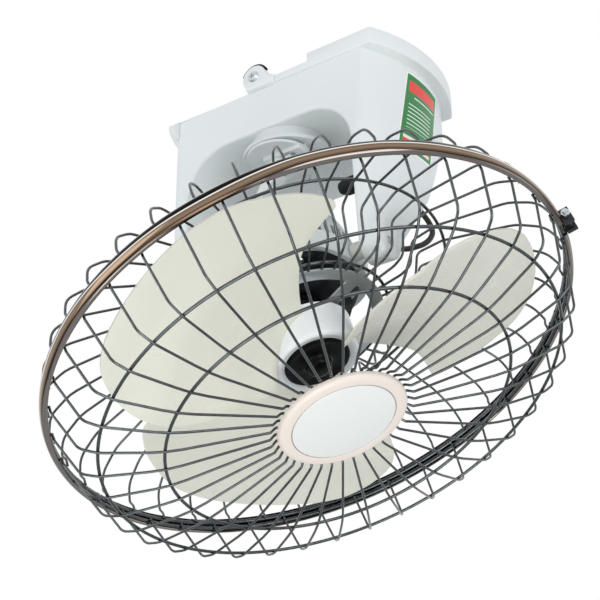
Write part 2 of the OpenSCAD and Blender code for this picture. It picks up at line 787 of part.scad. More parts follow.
// Dark front cover: it closes the dome, holds the stator and ends in the front neck
module motor_front_cover() {
    lid_r = sqrt(dome_r * dome_r - pow(dome_cut + dome_lid_t, 2)) - 0.2;
    color([0.10, 0.10, 0.105]) at_head() difference() {
        union() {
            translate([0, 0, dome_cut]) cylinder(r = lid_r, h = dome_lid_t);
            translate([0, 0, can_rear]) cylinder(r = can_r, h = can_front - can_rear);
            translate([0, 0, can_front - 1]) cylinder(r = neck_r, h = plate_back - can_front + 1);
        }
        translate([0, 0, can_rear - 1])
            cylinder(r = can_r - motor_wall, h = can_front - can_rear + 1 - motor_wall);
        // the neck is a cup behind the bearing wall
        translate([0, 0, can_front - motor_wall - 1]) cylinder(r = neck_r - 8, h = 4);
        translate([0, 0, front_bearing - 0.01]) cylinder(r = bearing_r, h = bearing_w + 20);
        translate([0, 0, front_bearing - 4]) cylinder(r = shaft_r + 2, h = 12);
        // oval cooling slots in the side wall and in the face
        around(6, can_r - motor_wall - 2, can_slot_turn) translate([0, 0, can_slot_z])
            rotate([0, 90, 0]) linear_extrude(motor_wall + 6) oval(can_slot_r, 8);
        around(6, face_slot_r, can_slot_turn) translate([0, 0, can_front - motor_wall - 1])
            linear_extrude(motor_wall + 2) oval(2.6, 3.5);
        around(4, neck_r - 6, spider_turn) translate([0, 0, plate_back - 7]) cylinder(r = 1.9, h = 10);
        motor_screw_holes();
    }
}

// A slot with round ends, its long way along Y
module oval(r, half) {
    square([2 * r, 2 * half], center = true);
    for (side = [-1, 1]) translate([0, side * half]) circle(r = r, $fn = 24);
}

module motor_cover_screws() {
    color([0.70, 0.71, 0.72]) at_head() around(4, can_r + 6, 45)
        translate([0, 0, dome_cut + dome_lid_t]) pan_screw(1.55, 3, 1.6, dome_lid_t + 4);
}

module stator_core() {
    color([0.45, 0.46, 0.48]) at_head() translate([0, 0, -stack_l / 2]) difference() {
        tube(can_r - motor_wall, stator_bore_r, stack_l);
        around(12, stator_bore_r + 6) translate([0, 0, -1]) cylinder(r = 2.4, h = stack_l + 2);
    }
}

module stator_winding() {
    color([0.72, 0.40, 0.20]) at_head() for (z = [-stack_l / 2 - winding_l, stack_l / 2])
        translate([0, 0, z]) tube(can_r - motor_wall - 3, stator_bore_r + 3, winding_l);
}

module motor_bearings() {
    color([0.66, 0.67, 0.68]) at_head() for (z = [front_bearing, rear_bearing])
        translate([0, 0, z]) ball_bearing(bearing_r, shaft_r + fine);
}

module tail_pin() {
    end = -(tail_reach + tail_seat_w / 2 + 2.5);
    color([0.72, 0.73, 0.74]) at_head() difference() {
        union() {
            translate([0, 0, end]) cylinder(r = tail_pin_r, h = dome_boss_back - end + 15);
            translate([0, 0, -(tail_reach - tail_seat_w / 2 - 1)])
                cylinder(r = tail_collar_r,
                         h = tail_reach - tail_seat_w / 2 - 1 + dome_boss_back);
        }
        // groove of the retaining clip
        translate([0, 0, end + 1]) tube(tail_pin_r + 2, tail_pin_r - 0.6, 1);
    }
}

module tail_clip() {
    end = -(tail_reach + tail_seat_w / 2 + 2.5);
    color([0.30, 0.30, 0.31]) at_head() translate([0, 0, end + 1]) difference() {
        tube(tail_pin_r + 2.2, tail_pin_r - 0.6, 1);
        translate([2, -1.2, -1]) cube([6, 2.4, 3]);
    }
}

// ---------------------------------------------------------------- guard

// Ring with four spokes that carries the rear guard in front of the motor
module guard_plate() {
    color([0.74, 0.75, 0.76]) at_head() translate([0, 0, plate_back]) difference() {
        tube(guard_plate_r, shaft_r + 8, guard_plate_t);
        around(4, neck_r - 6, spider_turn) translate([0, 0, -1]) cylinder(r = 2.1, h = 6);
        for (turn = [0:90:270]) rotate(spider_turn + turn) translate([0, 0, -1])
            linear_extrude(guard_plate_t + 2) plate_window();
    }
}

module plate_window() {
    intersection() {
        difference() {
            circle(r = guard_plate_r - plate_band);
            circle(r = neck_r + 2);
        }
        translate([spoke_w / 2, spoke_w / 2]) square(guard_plate_r);
    }
}

module guard_plate_screws() {
    color([0.76, 0.77, 0.78]) at_head() around(4, neck_r - 6, spider_turn)
        translate([0, 0, plate_front]) pan_screw(1.9, 3.6, 1.9, guard_plate_t + 5);
}

// Half-section of one rear wire, radius and height from the belt plane
function rear_path() = [
    [guard_plate_r + seat_gap, rear_h], [rear_ring_r - 46, rear_h - 1],
    [rear_ring_r - 36, rear_h - 5], [rear_ring_r - 26, rear_h - 27],
    [rear_ring_r - 2, rear_h - 28.5], [guard_r - 14.5, -31], [guard_r - 12, -20],
    [guard_r - 11, -17], [rib_end_r, -7.5], [rib_end_r, -1.6]
];

function front_path() = [
    [cap_r - 8, front_rise - rib_drop], [cap_r + 1, front_rise - rib_drop],
    [cap_r + 6, front_rise + 0.8], [front_ring_r, front_rise + 1],
    [shoulder_ring_r + 1, 54.4], [guard_r - 22, 48], [guard_r - 19, 44],
    [rib_end_r, 8], [rib_end_r, 1.6]
];

module at_belt() { at_head() translate([0, 0, belt_ahead]) children(); }

module rear_guard() {
    color([0.30, 0.305, 0.31]) at_belt()
        for (i = [0:rib_count - 1]) rotate(360 * (i + 0.5) / rib_count)
            bent_wire(rear_path(), rib_wire_r);
}

module rear_guard_rings() {
    drop = rib_wire_r + ring_wire_r + seat_gap;
    color([0.30, 0.305, 0.31]) at_belt() {
        wire_ring(rear_ring_r, rear_h - 28.3 - drop, ring_wire_r);
        wire_ring(guard_plate_r + 5, rear_h - 0.1 - drop, ring_wire_r);
        wire_ring(rim_r, -rim_h, rim_wire_r);
    }
}

module front_guard() {
    color([0.30, 0.305, 0.31]) at_belt()
        for (i = [0:rib_count - 1]) rotate(360 * i / rib_count)
            bent_wire(front_path(), rib_wire_r);
}

module front_guard_rings() {
    drop = rib_wire_r + ring_wire_r + seat_gap;
    color([0.30, 0.305, 0.31]) at_belt() {
        wire_ring(front_ring_r, front_rise + 1 - drop, ring_wire_r);
        wire_ring(shoulder_ring_r, 54.6 - drop, ring_wire_r);
        wire_ring(rim_r, rim_h, rim_wire_r);
    }
}

// Channel that clamps the two rim wires together, open at its clamp
module guard_belt() {
    color([0.80, 0.80, 0.80]) at_belt() rotate(clamp_turn + 2) rotate_extrude(angle = 356)
        translate([0, -belt_w / 2]) {
            translate([belt_r_in, 0]) square([belt_wall, belt_w]);
            for (y = [0, belt_w - belt_wall]) translate([guard_r - 5, y])
                square([5, belt_wall]);
        }
}

module belt_clamp() {
    color([0.10, 0.10, 0.10]) at_belt() for (side = [-1, 1]) rotate(clamp_turn)
        translate([guard_r - 0.8, side * 6 - 2, -belt_w / 2]) difference() {
            cube([9, 4, belt_w]);
            translate([5, -1, belt_w / 2]) rotate([-90, 0, 0]) cylinder(r = 2, h = 6);
        }
}

module belt_screw() {
    color([0.80, 0.81, 0.82]) at_belt() rotate(clamp_turn)
        translate([guard_r + 4.2, -8, 0]) rotate([90, 0, 0])
            pan_screw(2, 3.6, 2.2, 22);
}

module belt_nut() {
    color([0.80, 0.81, 0.82]) at_belt() rotate(clamp_turn)
        translate([guard_r + 4.2, 8, 0]) rotate([-90, 0, 0]) difference() {
            cylinder(r = 4, h = 3.5, $fn = 6);
            translate([0, 0, -1]) cylinder(r = 2, h = 6);
        }
}

// ---------------------------------------------------------------- front cap

module front_cap() {
    color([0.90, 0.87, 0.83]) at_belt() translate([0, 0, cap_back]) difference() {
        rotate_extrude() polygon([
            [0, 0], [cap_r, 0], [cap_r, cap_h - 3.5], [cap_r - 1.5, cap_h - 1.2],
            [cap_r - 4.5, cap_h], [0, cap_h]
        ]);
        translate([0, 0, cap_h - insert_sunk]) cylinder(r = insert_r + 0.15, h = 4);
        around(3, 20) translate([0, 0, -1]) cylinder(r = 1.3, h = cap_h - 2);
    }
}

module cap_insert() {
    color([0.89, 0.89, 0.88]) at_belt() translate([0, 0, cap_back + cap_h - insert_sunk])
        rotate_extrude() polygon([
            [0, 0], [insert_r, 0], [insert_r, insert_sunk],
            for (i = [1:6]) let (s = 1 - i / 6)
                [insert_r * s, insert_sunk + insert_crown * (1 - s * s)]
        ]);
}

module cap_backing() {
    color([0.74, 0.75, 0.76]) at_belt()
        translate([0, 0, front_rise - rib_drop - rib_wire_r - seat_gap - 1.5]) difference() {
            cylinder(r = cap_r - 6, h = 1.5);
            around(3, 20) translate([0, 0, -1]) cylinder(r = 1.7, h = 4);
        }
}

// Screws through the backing plate into the cap, heads on the blade side
module cap_screws() {
    back = front_rise - rib_drop - rib_wire_r - seat_gap - 1.5;
    color([0.76, 0.77, 0.78]) at_belt() translate([0, 0, back]) around(3, 20)
        rotate([180, 0, 0]) pan_screw(1.3, 3, 1.5, 1.5 + 2 * rib_wire_r + 2 * seat_gap + 2.5);
}

// ---------------------------------------------------------------- rotor

module motor_shaft() {
    color([0.74, 0.75, 0.76]) at_head() translate([0, 0, rear_bearing - 1]) difference() {
        cylinder(r = shaft_r, h = shaft_front - rear_bearing + 1);
        translate([-10, 0, hub_back + 10 - rear_bearing + 1]) rotate([0, 90, 0])
            cylinder(r = 1.5, h = 20);
    }
}

module rotor_core() {
    color([0.55, 0.56, 0.58]) at_head() translate([0, 0, -stack_l / 2])
        tube(stator_bore_r - 0.5, shaft_r, stack_l);
}

// Height of the blade's middle surface at a radius and an angle
function blade_lift(r) = r < 60 ? 16 : r < 135 ? 16 + (r - 60) * 0.2 : 31;
function blade_h(r, a) =
    let (s = (a - blade_span[0]) / (blade_span[1] + 60 / r - blade_span[0]))
    blade_back + (blade_lift(r) - blade_back) * pow(max(0, s), blade_camber);

function blade_point(row, j, side) =
    let (a = row[1] + (row[2] - row[1]) * j / blade_steps)
    [row[0] * cos(a), row[0] * sin(a), blade_h(row[0], a) + side * blade_t / 2];

function blade_points() = [
    for (side = [-1, 1], row = blade_rows, j = [0:blade_steps]) blade_point(row, j, side)
];

// Number of the point in row i at step j, on the rear skin (0) or front skin (1)
function bn(skin, i, j) = (skin * len(blade_rows) + i) * (blade_steps + 1) + j;

function quad(a, b, c, d) = [[a, b, c], [a, c, d]];

function blade_faces() = let (last = len(blade_rows) - 1, n = blade_steps) concat(
    [for (i = [0:last - 1], j = [0:n - 1])
        each quad(bn(0, i, j), bn(0, i + 1, j), bn(0, i + 1, j + 1), bn(0, i, j + 1))],
    [for (i = [0:last - 1], j = [0:n - 1])
        each quad(bn(1, i, j), bn(1, i, j + 1), bn(1, i + 1, j + 1), bn(1, i + 1, j))],
    [for (i = [0:last - 1])
        each quad(bn(0, i, 0), bn(1, i, 0), bn(1, i + 1, 0), bn(0, i + 1, 0))],
    [for (i = [0:last - 1])
        each quad(bn(0, i, n), bn(0, i + 1, n), bn(1, i + 1, n), bn(1, i, n))],
    [for (j = [0:n - 1])
        each quad(bn(0, 0, j), bn(0, 0, j + 1), bn(1, 0, j + 1), bn(1, 0, j))],
    [for (j = [0:n - 1])
        each quad(bn(0, last, j), bn(1, last, j), bn(1, last, j + 1), bn(0, last, j + 1))]
);

module blade_moulding() {
    wall = hub_wall;
    color([0.86, 0.86, 0.82]) at_head() difference() {
        union() {
            translate([0, 0, hub_back]) cylinder(r1 = hub_r, r2 = hub_front_r,
                                                 h = hub_front - hub_back);
            translate([0, 0, belt_ahead]) for (k = [0:blades - 1])
                rotate(rotor_turn - 360 * k / blades)
                    polyhedron(blade_points(), blade_faces(), convexity = 6);
        }
        // hollow rear of the hub, round a boss for the shaft
        translate([0, 0, hub_back - 1]) difference() {
            cylinder(r1 = hub_r - wall, r2 = hub_front_r - wall,
                     h = hub_front - hub_back - 5);
            cylinder(r = shaft_r + 6, h = 60);
        }
        translate([0, 0, hub_front - 2]) cylinder(r = spinner_r + 0.15, h = 10);
        translate([0, 0, hub_back - 5]) cylinder(r = shaft_r, h = 60);
        translate([-12, 0, hub_back + 10]) rotate([0, 90, 0]) cylinder(r = 1.5, h = 24);
    }
}

// Cross pin that drives the hub
module hub_pin() {
    color([0.70, 0.71, 0.72]) at_head() translate([-9, 0, hub_back + 10]) rotate([0, 90, 0])
        cylinder(r = 1.5, h = 18);
}

module spinner() {
    color([0.03, 0.03, 0.03]) at_head() translate([0, 0, hub_front - 2]) difference() {
        union() {
            cylinder(r = spinner_r, h = 2.5);
            translate([0, 0, 2.5]) cylinder(r1 = 11, r2 = 9, h = 8);
        }
        translate([0, 0, -1]) cylinder(r = shaft_r, h = shaft_front - hub_front + 3.2);
    }
}

ceiling_plate();
housing_shell();
lug_screws();
lug_pads();
leg_pins();
leg_spacers();
orbit_motor();
orbit_motor_screws();
gear_cover();
gear_cover_screws();
drive_bush();
run_capacitor();
terminal_block();
side_label();
rubber_buffer();
lead_grommets();
motor_lead();
drive_shaft();
crank_disc();
crank_arm();
crank_bolts();
crank_washers();
tail_bearing();
gimbal_ring();
ring_pivot_screws();
motor_rear_cover();
motor_front_cover();
motor_cover_screws();
stator_core();
stator_winding();
motor_bearings();
tail_pin();
tail_clip();
guard_plate();
guard_plate_screws();
rear_guard();
rear_guard_rings();
front_guard();
front_guard_rings();
guard_belt();
belt_clamp();
belt_screw();
belt_nut();
front_cap();
cap_insert();
cap_backing();
cap_screws();
motor_shaft();
rotor_core();
blade_moulding();
hub_pin();
spinner();
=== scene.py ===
# %% [markdown]
# # An orbital ceiling fan
# This fan hangs under a ceiling. A white housing holds two legs, and between
# them a gimbal carries the fan head with its wire guard. A slow crank takes the
# tail of the head round in a circle. Every solid already exists as a CAD model,
# so this lesson gives it soft edges, real wire, smooth blades and true finishes.

# %% Load the frame
import json
import math

import bmesh
import bpy
from mathutils import Matrix, Vector


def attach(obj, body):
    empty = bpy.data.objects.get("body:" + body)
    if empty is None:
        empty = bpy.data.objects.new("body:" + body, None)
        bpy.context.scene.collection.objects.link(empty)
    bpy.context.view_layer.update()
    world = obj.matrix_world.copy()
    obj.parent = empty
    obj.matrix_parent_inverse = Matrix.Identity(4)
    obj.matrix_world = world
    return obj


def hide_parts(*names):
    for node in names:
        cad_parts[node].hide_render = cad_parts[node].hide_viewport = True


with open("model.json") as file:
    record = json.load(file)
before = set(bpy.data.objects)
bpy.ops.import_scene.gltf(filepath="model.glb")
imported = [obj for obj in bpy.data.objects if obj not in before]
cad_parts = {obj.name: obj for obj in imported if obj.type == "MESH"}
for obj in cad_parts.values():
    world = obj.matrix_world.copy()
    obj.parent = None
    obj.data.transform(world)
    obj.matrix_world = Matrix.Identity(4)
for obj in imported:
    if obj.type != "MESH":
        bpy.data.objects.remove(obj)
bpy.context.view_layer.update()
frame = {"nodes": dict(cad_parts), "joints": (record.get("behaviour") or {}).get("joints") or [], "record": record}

# %% [markdown]
# ## Two places
# Everything hangs round one point, the gimbal centre, where all the joints
# cross. Pieces are modelled in millimetres in one of two simple places: the
# gimbal, with Z up, or the head, with Z forward along the fan's tilted axis.
# One matrix then carries each finished mesh to its place in metres. Both
# matrices come from the joints, so they can't disagree with the CAD model.

# %% Places
MM = 0.001
joints = {joint["name"]: joint for joint in frame["joints"]}
gimbal_point = Vector(joints["orbit"]["pos_m"])
tail_axis = Vector(joints["head_turn"]["axis"]).normalized()
head_tilt = math.acos(tail_axis.z)

AT_GIMBAL = Matrix.Translation(gimbal_point) @ Matrix.Scale(MM, 4)
AT_HEAD = AT_GIMBAL @ Matrix.Rotation(math.pi - head_tilt, 4, "Y")
BELT_AHEAD = 95                 # from the gimbal centre to the middle of the belt
AT_BELT = AT_HEAD @ Matrix.Translation((0, 0, BELT_AHEAD))
AT_CEILING = Matrix.Scale(MM, 4)
print("gimbal", [round(x, 3) for x in gimbal_point], "tilt", round(math.degrees(head_tilt), 1))

# %% [markdown]
# ## Camera
# The photographer stood below the fan and to its right. The place and the lens
# were found by matching the round belt, the guard's rings and the cap with the
# ellipses that they make in the picture: a circle seen at a slant gives both
# the angle and the distance.

# %% Camera
CAMERA_FROM_GIMBAL = Vector((661.6, -917.1, -615.4))
CAMERA_LOOKS = Vector((-0.5069, 0.7259, 0.4648))
CAMERA_ROLL = math.radians(-0.1)
LENS_MM = 89.34                 # on a 36 mm sensor

lens = bpy.data.cameras.new("camera")
lens.lens = LENS_MM
lens.sensor_width = 36
camera = bpy.data.objects.new("camera", lens)
bpy.context.scene.collection.objects.link(camera)
camera.location = AT_GIMBAL @ CAMERA_FROM_GIMBAL
turn = CAMERA_LOOKS.to_track_quat("-Z", "Y").to_matrix()
camera.rotation_euler = (turn @ Matrix.Rotation(CAMERA_ROLL, 3, "Z")).to_euler()
bpy.context.scene.camera = camera
print("camera stands at", [round(x, 3) for x in camera.location])

# %% [markdown]
# ## Adding nodes
# A material is a small network of nodes. One function adds a node, sets it up
# and joins its inputs, so that each finish below reads like a recipe. Colours
# are written as the hex values that a colour picker shows, and one function
# turns them into the linear light that the renderer works in.

# %% Colour and nodes
def colour(code):
    """Linear colour of an sRGB hex value."""
    channels = [int(code[i:i + 2], 16) / 255 for i in (0, 2, 4)]
    return [c / 12.92 if c <= 0.04045 else ((c + 0.055) / 1.055) ** 2.4
            for c in channels] + [1.0]


def add(tree, kind, inputs=None, **settings):
    """One node, with its settings, and its inputs set to a value or joined to a socket."""
    node = tree.nodes.new("ShaderNode" + kind)
    for name, value in settings.items():
        setattr(node, name, value)
    for name, value in (inputs or {}).items():
        if isinstance(value, bpy.types.NodeSocket):
            tree.links.new(value, node.inputs[name])
        else:
            node.inputs[name].default_value = value
    return node


def place_on_piece(tree, head=False):
    """Object coordinates in millimetres, turned with the fan's axis for pieces of the head."""
    here = add(tree, "TexCoord").outputs["Object"]
    if head:
        here = add(tree, "Mapping", {"Vector": here, "Location": gimbal_point,
                                     "Rotation": (0, math.pi - head_tilt, 0)},
                   vector_type="TEXTURE").outputs["Vector"]
    return add(tree, "VectorMath", {0: here, "Scale": 1 / MM}, operation="SCALE").outputs[0]


def finish_of(name, tint, rough, metal=0.0, ior=1.5, coat=0.0, shine=0.5, head=False):
    """A new material with its shader, and its tree and place for the patterns."""
    material = bpy.data.materials.new(name)
    material.use_nodes = True
    tree = material.node_tree
    shader = tree.nodes["Principled BSDF"]
    shader.inputs["Base Color"].default_value = colour(tint)
    shader.inputs["Roughness"].default_value = rough
    shader.inputs["Metallic"].default_value = metal
    if not metal:
        shader.inputs["IOR"].default_value = ior
        shader.inputs["Specular IOR Level"].default_value = shine
    shader.inputs["Coat Weight"].default_value = coat
    return material, tree, shader, place_on_piece(tree, head)


print("white is", colour("ffffff")[:3])

# %% [markdown]
# ## Moulded plastic
# The housing, cap and blades are injection moulded. Moulded plastic copies its
# steel tool: polished tools give a smooth skin with very shallow waves where the
# plastic shrank, eroded tools give a fine grain. The colour is nearly even, with
# faint clouds from flow in the tool. So the recipe is a base colour that drifts
# by a few per cent over centimetres, a bump of grain or waves, and a roughness
# that drifts with it. The grain is about 0.3 mm on the real part. It is drawn
# at 1 mm or more here, because finer grain can't show at this distance.

# %% Moulded plastic
def moulded(name, tint, shade, rough, grain_mm, grain_depth, ior=1.54, shine=0.5, head=False):
    """Moulded plastic: tint with faint clouds of shade, and a skin of waves and grain."""
    material, tree, shader, at = finish_of(name, tint, rough, ior=ior, shine=shine, head=head)
    clouds = add(tree, "TexNoise", {"Vector": at, "Scale": 1 / 45, "Detail": 3.0})
    drift = add(tree, "Mix", {0: clouds.outputs["Fac"], "A": colour(tint), "B": colour(shade)},
                data_type="RGBA")
    tree.links.new(drift.outputs["Result"], shader.inputs["Base Color"])
    wipe = add(tree, "MapRange", {"Value": clouds.outputs["Fac"], "From Min": 0.3,
                                  "From Max": 0.7, "To Min": rough - 0.04,
                                  "To Max": rough + 0.04})
    tree.links.new(wipe.outputs["Result"], shader.inputs["Roughness"])
    waves = add(tree, "TexNoise", {"Vector": at, "Scale": 1 / 22, "Detail": 1.0})
    grain = add(tree, "TexNoise", {"Vector": at, "Scale": 1 / grain_mm, "Detail": 2.0})
    shrink = add(tree, "Bump", {"Height": waves.outputs["Fac"], "Distance": 0.25 * MM,
                                "Strength": 0.5})
    skin = add(tree, "Bump", {"Height": grain.outputs["Fac"], "Distance": grain_depth * MM,
                              "Strength": 0.6, "Normal": shrink.outputs["Normal"]})
    tree.links.new(skin.outputs["Normal"], shader.inputs["Normal"])
    return material


# White ABS with a semi-gloss skin: soft highlights on every rounded edge
housing_abs = moulded("white_abs_moulded", "E9EDEC", "E3E8E7", 0.36, 1.4, 0.02)
# Cream ABS, smoother: a warm rim round the colder face
cap_abs = moulded("cream_abs_moulded", "E3D9CF", "DFD4CA", 0.3, 1.6, 0.012, head=True)
# White ABS disc from a polished tool: almost a mirror, so it looks cleaner than the rim
face_abs = moulded("white_abs_polished", "DEE0DC", "DBDDD9", 0.22, 2.0, 0.006, head=True)
# Ivory AS plastic of the blades: smooth, faintly green-yellow, slightly darker in thick places
blade_as = moulded("ivory_as_moulded", "E1E0D3", "DAD9CB", 0.3, 2.2, 0.008, ior=1.57)
# White of the hub, painted paler and colder than the blades: painted light where it catches the room's light
hub_white_with_painted_light = moulded("white_as_with_painted_light", "F6F8F8", "F0F4F4", 0.26, 2.2, 0.006, ior=1.57)
# Black ABS from a polished tool: deep black, so only its edges catch small highlights
spinner_abs = moulded("black_abs_polished", "060606", "080809", 0.14, 2.5, 0.003, shine=0.1)
# Flame-proof plastic of the capacitor and the terminals: duller, with a visible grain
case_plastic = moulded("white_polyamide_moulded", "E2E1DA", "D9D8D0", 0.5, 0.9, 0.03, ior=1.53)
# Natural nylon turned into sleeves: milky and soft
sleeve_nylon = moulded("natural_nylon_turned", "E0DFD8", "D7D6CE", 0.45, 1.2, 0.02, ior=1.53)
print("plastics made:", len(bpy.data.materials))

# %% [markdown]
# ## Baked enamel
# The pressed and cast metal parts are sprayed and baked. Enamel flows a little
# before it sets, which leaves orange peel: soft dimples a few millimetres across.
# A thin clear coat over the colour gives the double highlight of paint. On edges
# the paint pulls thin, so its colour gets a little darker there. Pointiness would
# show that only on fine meshes, so the recipe uses dimples and clouds alone.

# %% Baked enamel
def enamel(name, tint, shade, rough, peel_mm=2.6, peel_depth=0.03, coat=0.25, shine=0.5):
    """Sprayed and baked paint: dimples of orange peel under a thin gloss."""
    material, tree, shader, at = finish_of(name, tint, rough, ior=1.5, coat=coat, shine=shine)
    shader.inputs["Coat Roughness"].default_value = 0.12
    clouds = add(tree, "TexNoise", {"Vector": at, "Scale": 1 / 30, "Detail": 2.0})
    drift = add(tree, "Mix", {0: clouds.outputs["Fac"], "A": colour(tint), "B": colour(shade)},
                data_type="RGBA")
    tree.links.new(drift.outputs["Result"], shader.inputs["Base Color"])
    peel = add(tree, "TexVoronoi", {"Vector": at, "Scale": 1 / peel_mm, "Smoothness": 1.0},
               feature="SMOOTH_F1")
    dimples = add(tree, "Bump", {"Height": peel.outputs["Distance"],
                                 "Distance": peel_depth * MM, "Strength": 0.5})
    tree.links.new(dimples.outputs["Normal"], shader.inputs["Normal"])
    return material


white_enamel = enamel("white_enamel_baked", "E7EAE9", "E1E5E4", 0.34)
cover_enamel = enamel("pale_grey_enamel_baked", "DDE2E2", "D6DCDC", 0.36)
dome_enamel = enamel("light_grey_enamel_baked", "D3D9D7", "CBD2D0", 0.34)
black_enamel = enamel("black_enamel_baked", "1E2223", "171A1B", 0.26, peel_depth=0.02, coat=0.1,
                      shine=0.35)
print("with enamels:", len(bpy.data.materials))

# %% [markdown]
# ## Bare and plated metal
# Metals show mostly what they reflect, so their look is in their surface. Zinc
# plate is a little blue and cloudy. Ground steel has fine lines round its axis.
# The guard's wire is drawn steel with a nickel skin, whose colour gets
# lighter where the wire turns to the light. Its base colour is painted dark as
# a painted reflection of the dark room round it. The belt is rolled and
# polished chrome: the smoothest of all. A mirror channel shows what stands
# round it as long bands: near black where it looks back into the room, a white
# line on its crown and warm brown where it looks at the floor. The recipe paints
# those reflections into the belt's colour, as bands across its width. Drawing
# lines are about 0.05 mm apart on the real wire and are drawn ten times coarser.

# %% Metals
def metal(name, tint, shade, rough, spread, cloud_mm, stretch=(1, 1, 1), relief=0.0,
          head=False):
    """Bare or plated metal: clouds of shade, stretched along the way it was worked."""
    material, tree, shader, at = finish_of(name, tint, rough, metal=1.0, head=head)
    grained = add(tree, "VectorMath", {0: at, 1: stretch}, operation="MULTIPLY").outputs[0]
    clouds = add(tree, "TexNoise", {"Vector": grained, "Scale": 1 / cloud_mm, "Detail": 3.0})
    drift = add(tree, "Mix", {0: clouds.outputs["Fac"], "A": colour(tint), "B": colour(shade)},
                data_type="RGBA")
    tree.links.new(drift.outputs["Result"], shader.inputs["Base Color"])
    wear = add(tree, "MapRange", {"Value": clouds.outputs["Fac"], "From Min": 0.3,
                                  "From Max": 0.7, "To Min": rough - spread,
                                  "To Max": rough + spread})
    tree.links.new(wear.outputs["Result"], shader.inputs["Roughness"])
    if relief:
        lines = add(tree, "Bump", {"Height": clouds.outputs["Fac"], "Distance": relief * MM,
                                   "Strength": 0.5})
        tree.links.new(lines.outputs["Normal"], shader.inputs["Normal"])
    return material


zinc_plate = metal("zinc_plated_sheet", "C6CBCE", "B4BABF", 0.36, 0.08, 9)
zinc_screws = metal("zinc_plated_fixings", "CFD3D4", "B9BFC4", 0.26, 0.06, 3)
ground_steel = metal("ground_steel", "C9CACB", "B5B7B9", 0.2, 0.05, 1.2, (0.1, 0.1, 4), 0.01,
                     head=True)
bearing_steel = metal("polished_bearing_steel", "C4C6C8", "B2B4B7", 0.14, 0.04, 2)
blued_steel = metal("blued_spring_steel", "54575F", "3E414B", 0.3, 0.05, 2)
bronze = metal("sintered_bronze", "B7935A", "94713F", 0.5, 0.1, 0.8, relief=0.03)
stacked_steel = metal("lamination_stack", "7C7F83", "5C5F63", 0.45, 0.1, 1.0,
                      (0.02, 0.02, 1.6), 0.05, head=True)
wound_copper = metal("varnished_copper_winding", "B5713F", "8A4E28", 0.35, 0.08, 1.0,
                     (0.05, 0.05, 1.2), 0.3, head=True)
# Base colour painted dark: a painted reflection of the dark room that the plated wire reflects
guard_wire_painted_dark = metal("nickel_wire_painted_dark", "6A6E6F", "434748", 0.2, 0.05, 6)

# Painted reflection: the belt's colour is bands of the room's dark, a crown highlight and the floor's brown
BELT_HALF = 7.0                 # half the belt's width
BAND_DRIFT = 1.6                # how far the bands wander across the belt, in mm
REFLECTION_BANDS = [                       # height across the belt in mm from its middle, colour
    (-7.0, "4A4541"), (-6.5, "D8D2CB"), (-6.0, "E2DCD5"), (-5.6, "141211"), (-1.2, "070707"),
    (-0.8, "F4F2EF"), (0.1, "EFE9E2"), (0.5, "6E5C4D"), (3.2, "917C69"), (5.2, "665445"),
    (6.1, "1C1713"), (6.9, "8F8781"),
]
belt_chrome, tree, shader, at = finish_of("polished_chrome_painted_reflections", "C9C4BD", 0.06, metal=1.0,
                                          head=True)
across = add(tree, "SeparateXYZ", {0: at}).outputs["Z"]
waves = add(tree, "TexNoise", {"Vector": at, "Scale": 1 / 110, "Detail": 0.0}).outputs["Fac"]
drift = add(tree, "MapRange", {"Value": waves, "From Min": 0.3, "From Max": 0.7,
                               "To Min": -BAND_DRIFT, "To Max": BAND_DRIFT}).outputs[0]
drawn = add(tree, "Math", {0: across, 1: drift}, operation="ADD").outputs[0]
share = add(tree, "MapRange", {"Value": drawn, "From Min": BELT_AHEAD - BELT_HALF,
                               "From Max": BELT_AHEAD + BELT_HALF}).outputs[0]
ramp = add(tree, "ValToRGB", {"Fac": share})
for i, (height, code) in enumerate(REFLECTION_BANDS):
    spot = (height + BELT_HALF) / (2 * BELT_HALF)
    stop = ramp.color_ramp.elements.new(spot) if i else ramp.color_ramp.elements[0]
    stop.position = spot
    stop.color = colour(code)
ramp.color_ramp.elements.remove(ramp.color_ramp.elements[-1])
tree.links.new(ramp.outputs["Color"], shader.inputs["Base Color"])
print("with metals:", len(bpy.data.materials))

# %% [markdown]
# ## Rubber, sheath and label
# Rubber is matt because its mould is blasted and because talc stays in its
# pores. The lead has a smooth flexible sheath with slight kinks from drawing.
# The label is a printed film, which gets its pattern in a step of its own below.

# %% Soft and printed finishes
rubber = moulded("black_rubber_moulded", "121314", "191A1B", 0.7, 0.8, 0.05, ior=1.52, shine=0.2)
sheath = moulded("dark_grey_sheath", "2B2C27", "232420", 0.5, 1.2, 0.05, ior=1.52, shine=0.3)

# %% [markdown]
# ## Motor lead
# One dark cable feeds the motor. The picture shows it from end to end: it comes
# out of the rear of the right leg high up, hangs in a bow and goes back into the
# leg lower down. A 5 mm cable won't bend tighter than some 13 mm, so the bow
# is wide. It could be swept as a mesh, but a curve is simpler: it has a
# centreline whose length can be measured, and a round section added to it. The
# points are those of the CAD route, so the curve lies where its solid lies.

# %% Motor lead
LEAD_RADIUS = 2.5
LEAD_ROUTE = [
    (97, 62, 74), (97, 66, 74), (98, 70, 72.5), (100, 74, 69), (102.5, 76.5, 64),
    (105.5, 78, 58), (108, 78, 51.5), (109.5, 77, 45), (109.5, 74, 39), (108.5, 70, 33.5),
    (106, 65, 28.5), (103, 59, 24.5), (99.5, 53, 21), (97, 46.5, 18.5), (96, 40, 16.5),
    (96, 33.5, 16.5),
]
lead_points = [AT_GIMBAL @ Vector(point) for point in LEAD_ROUTE]

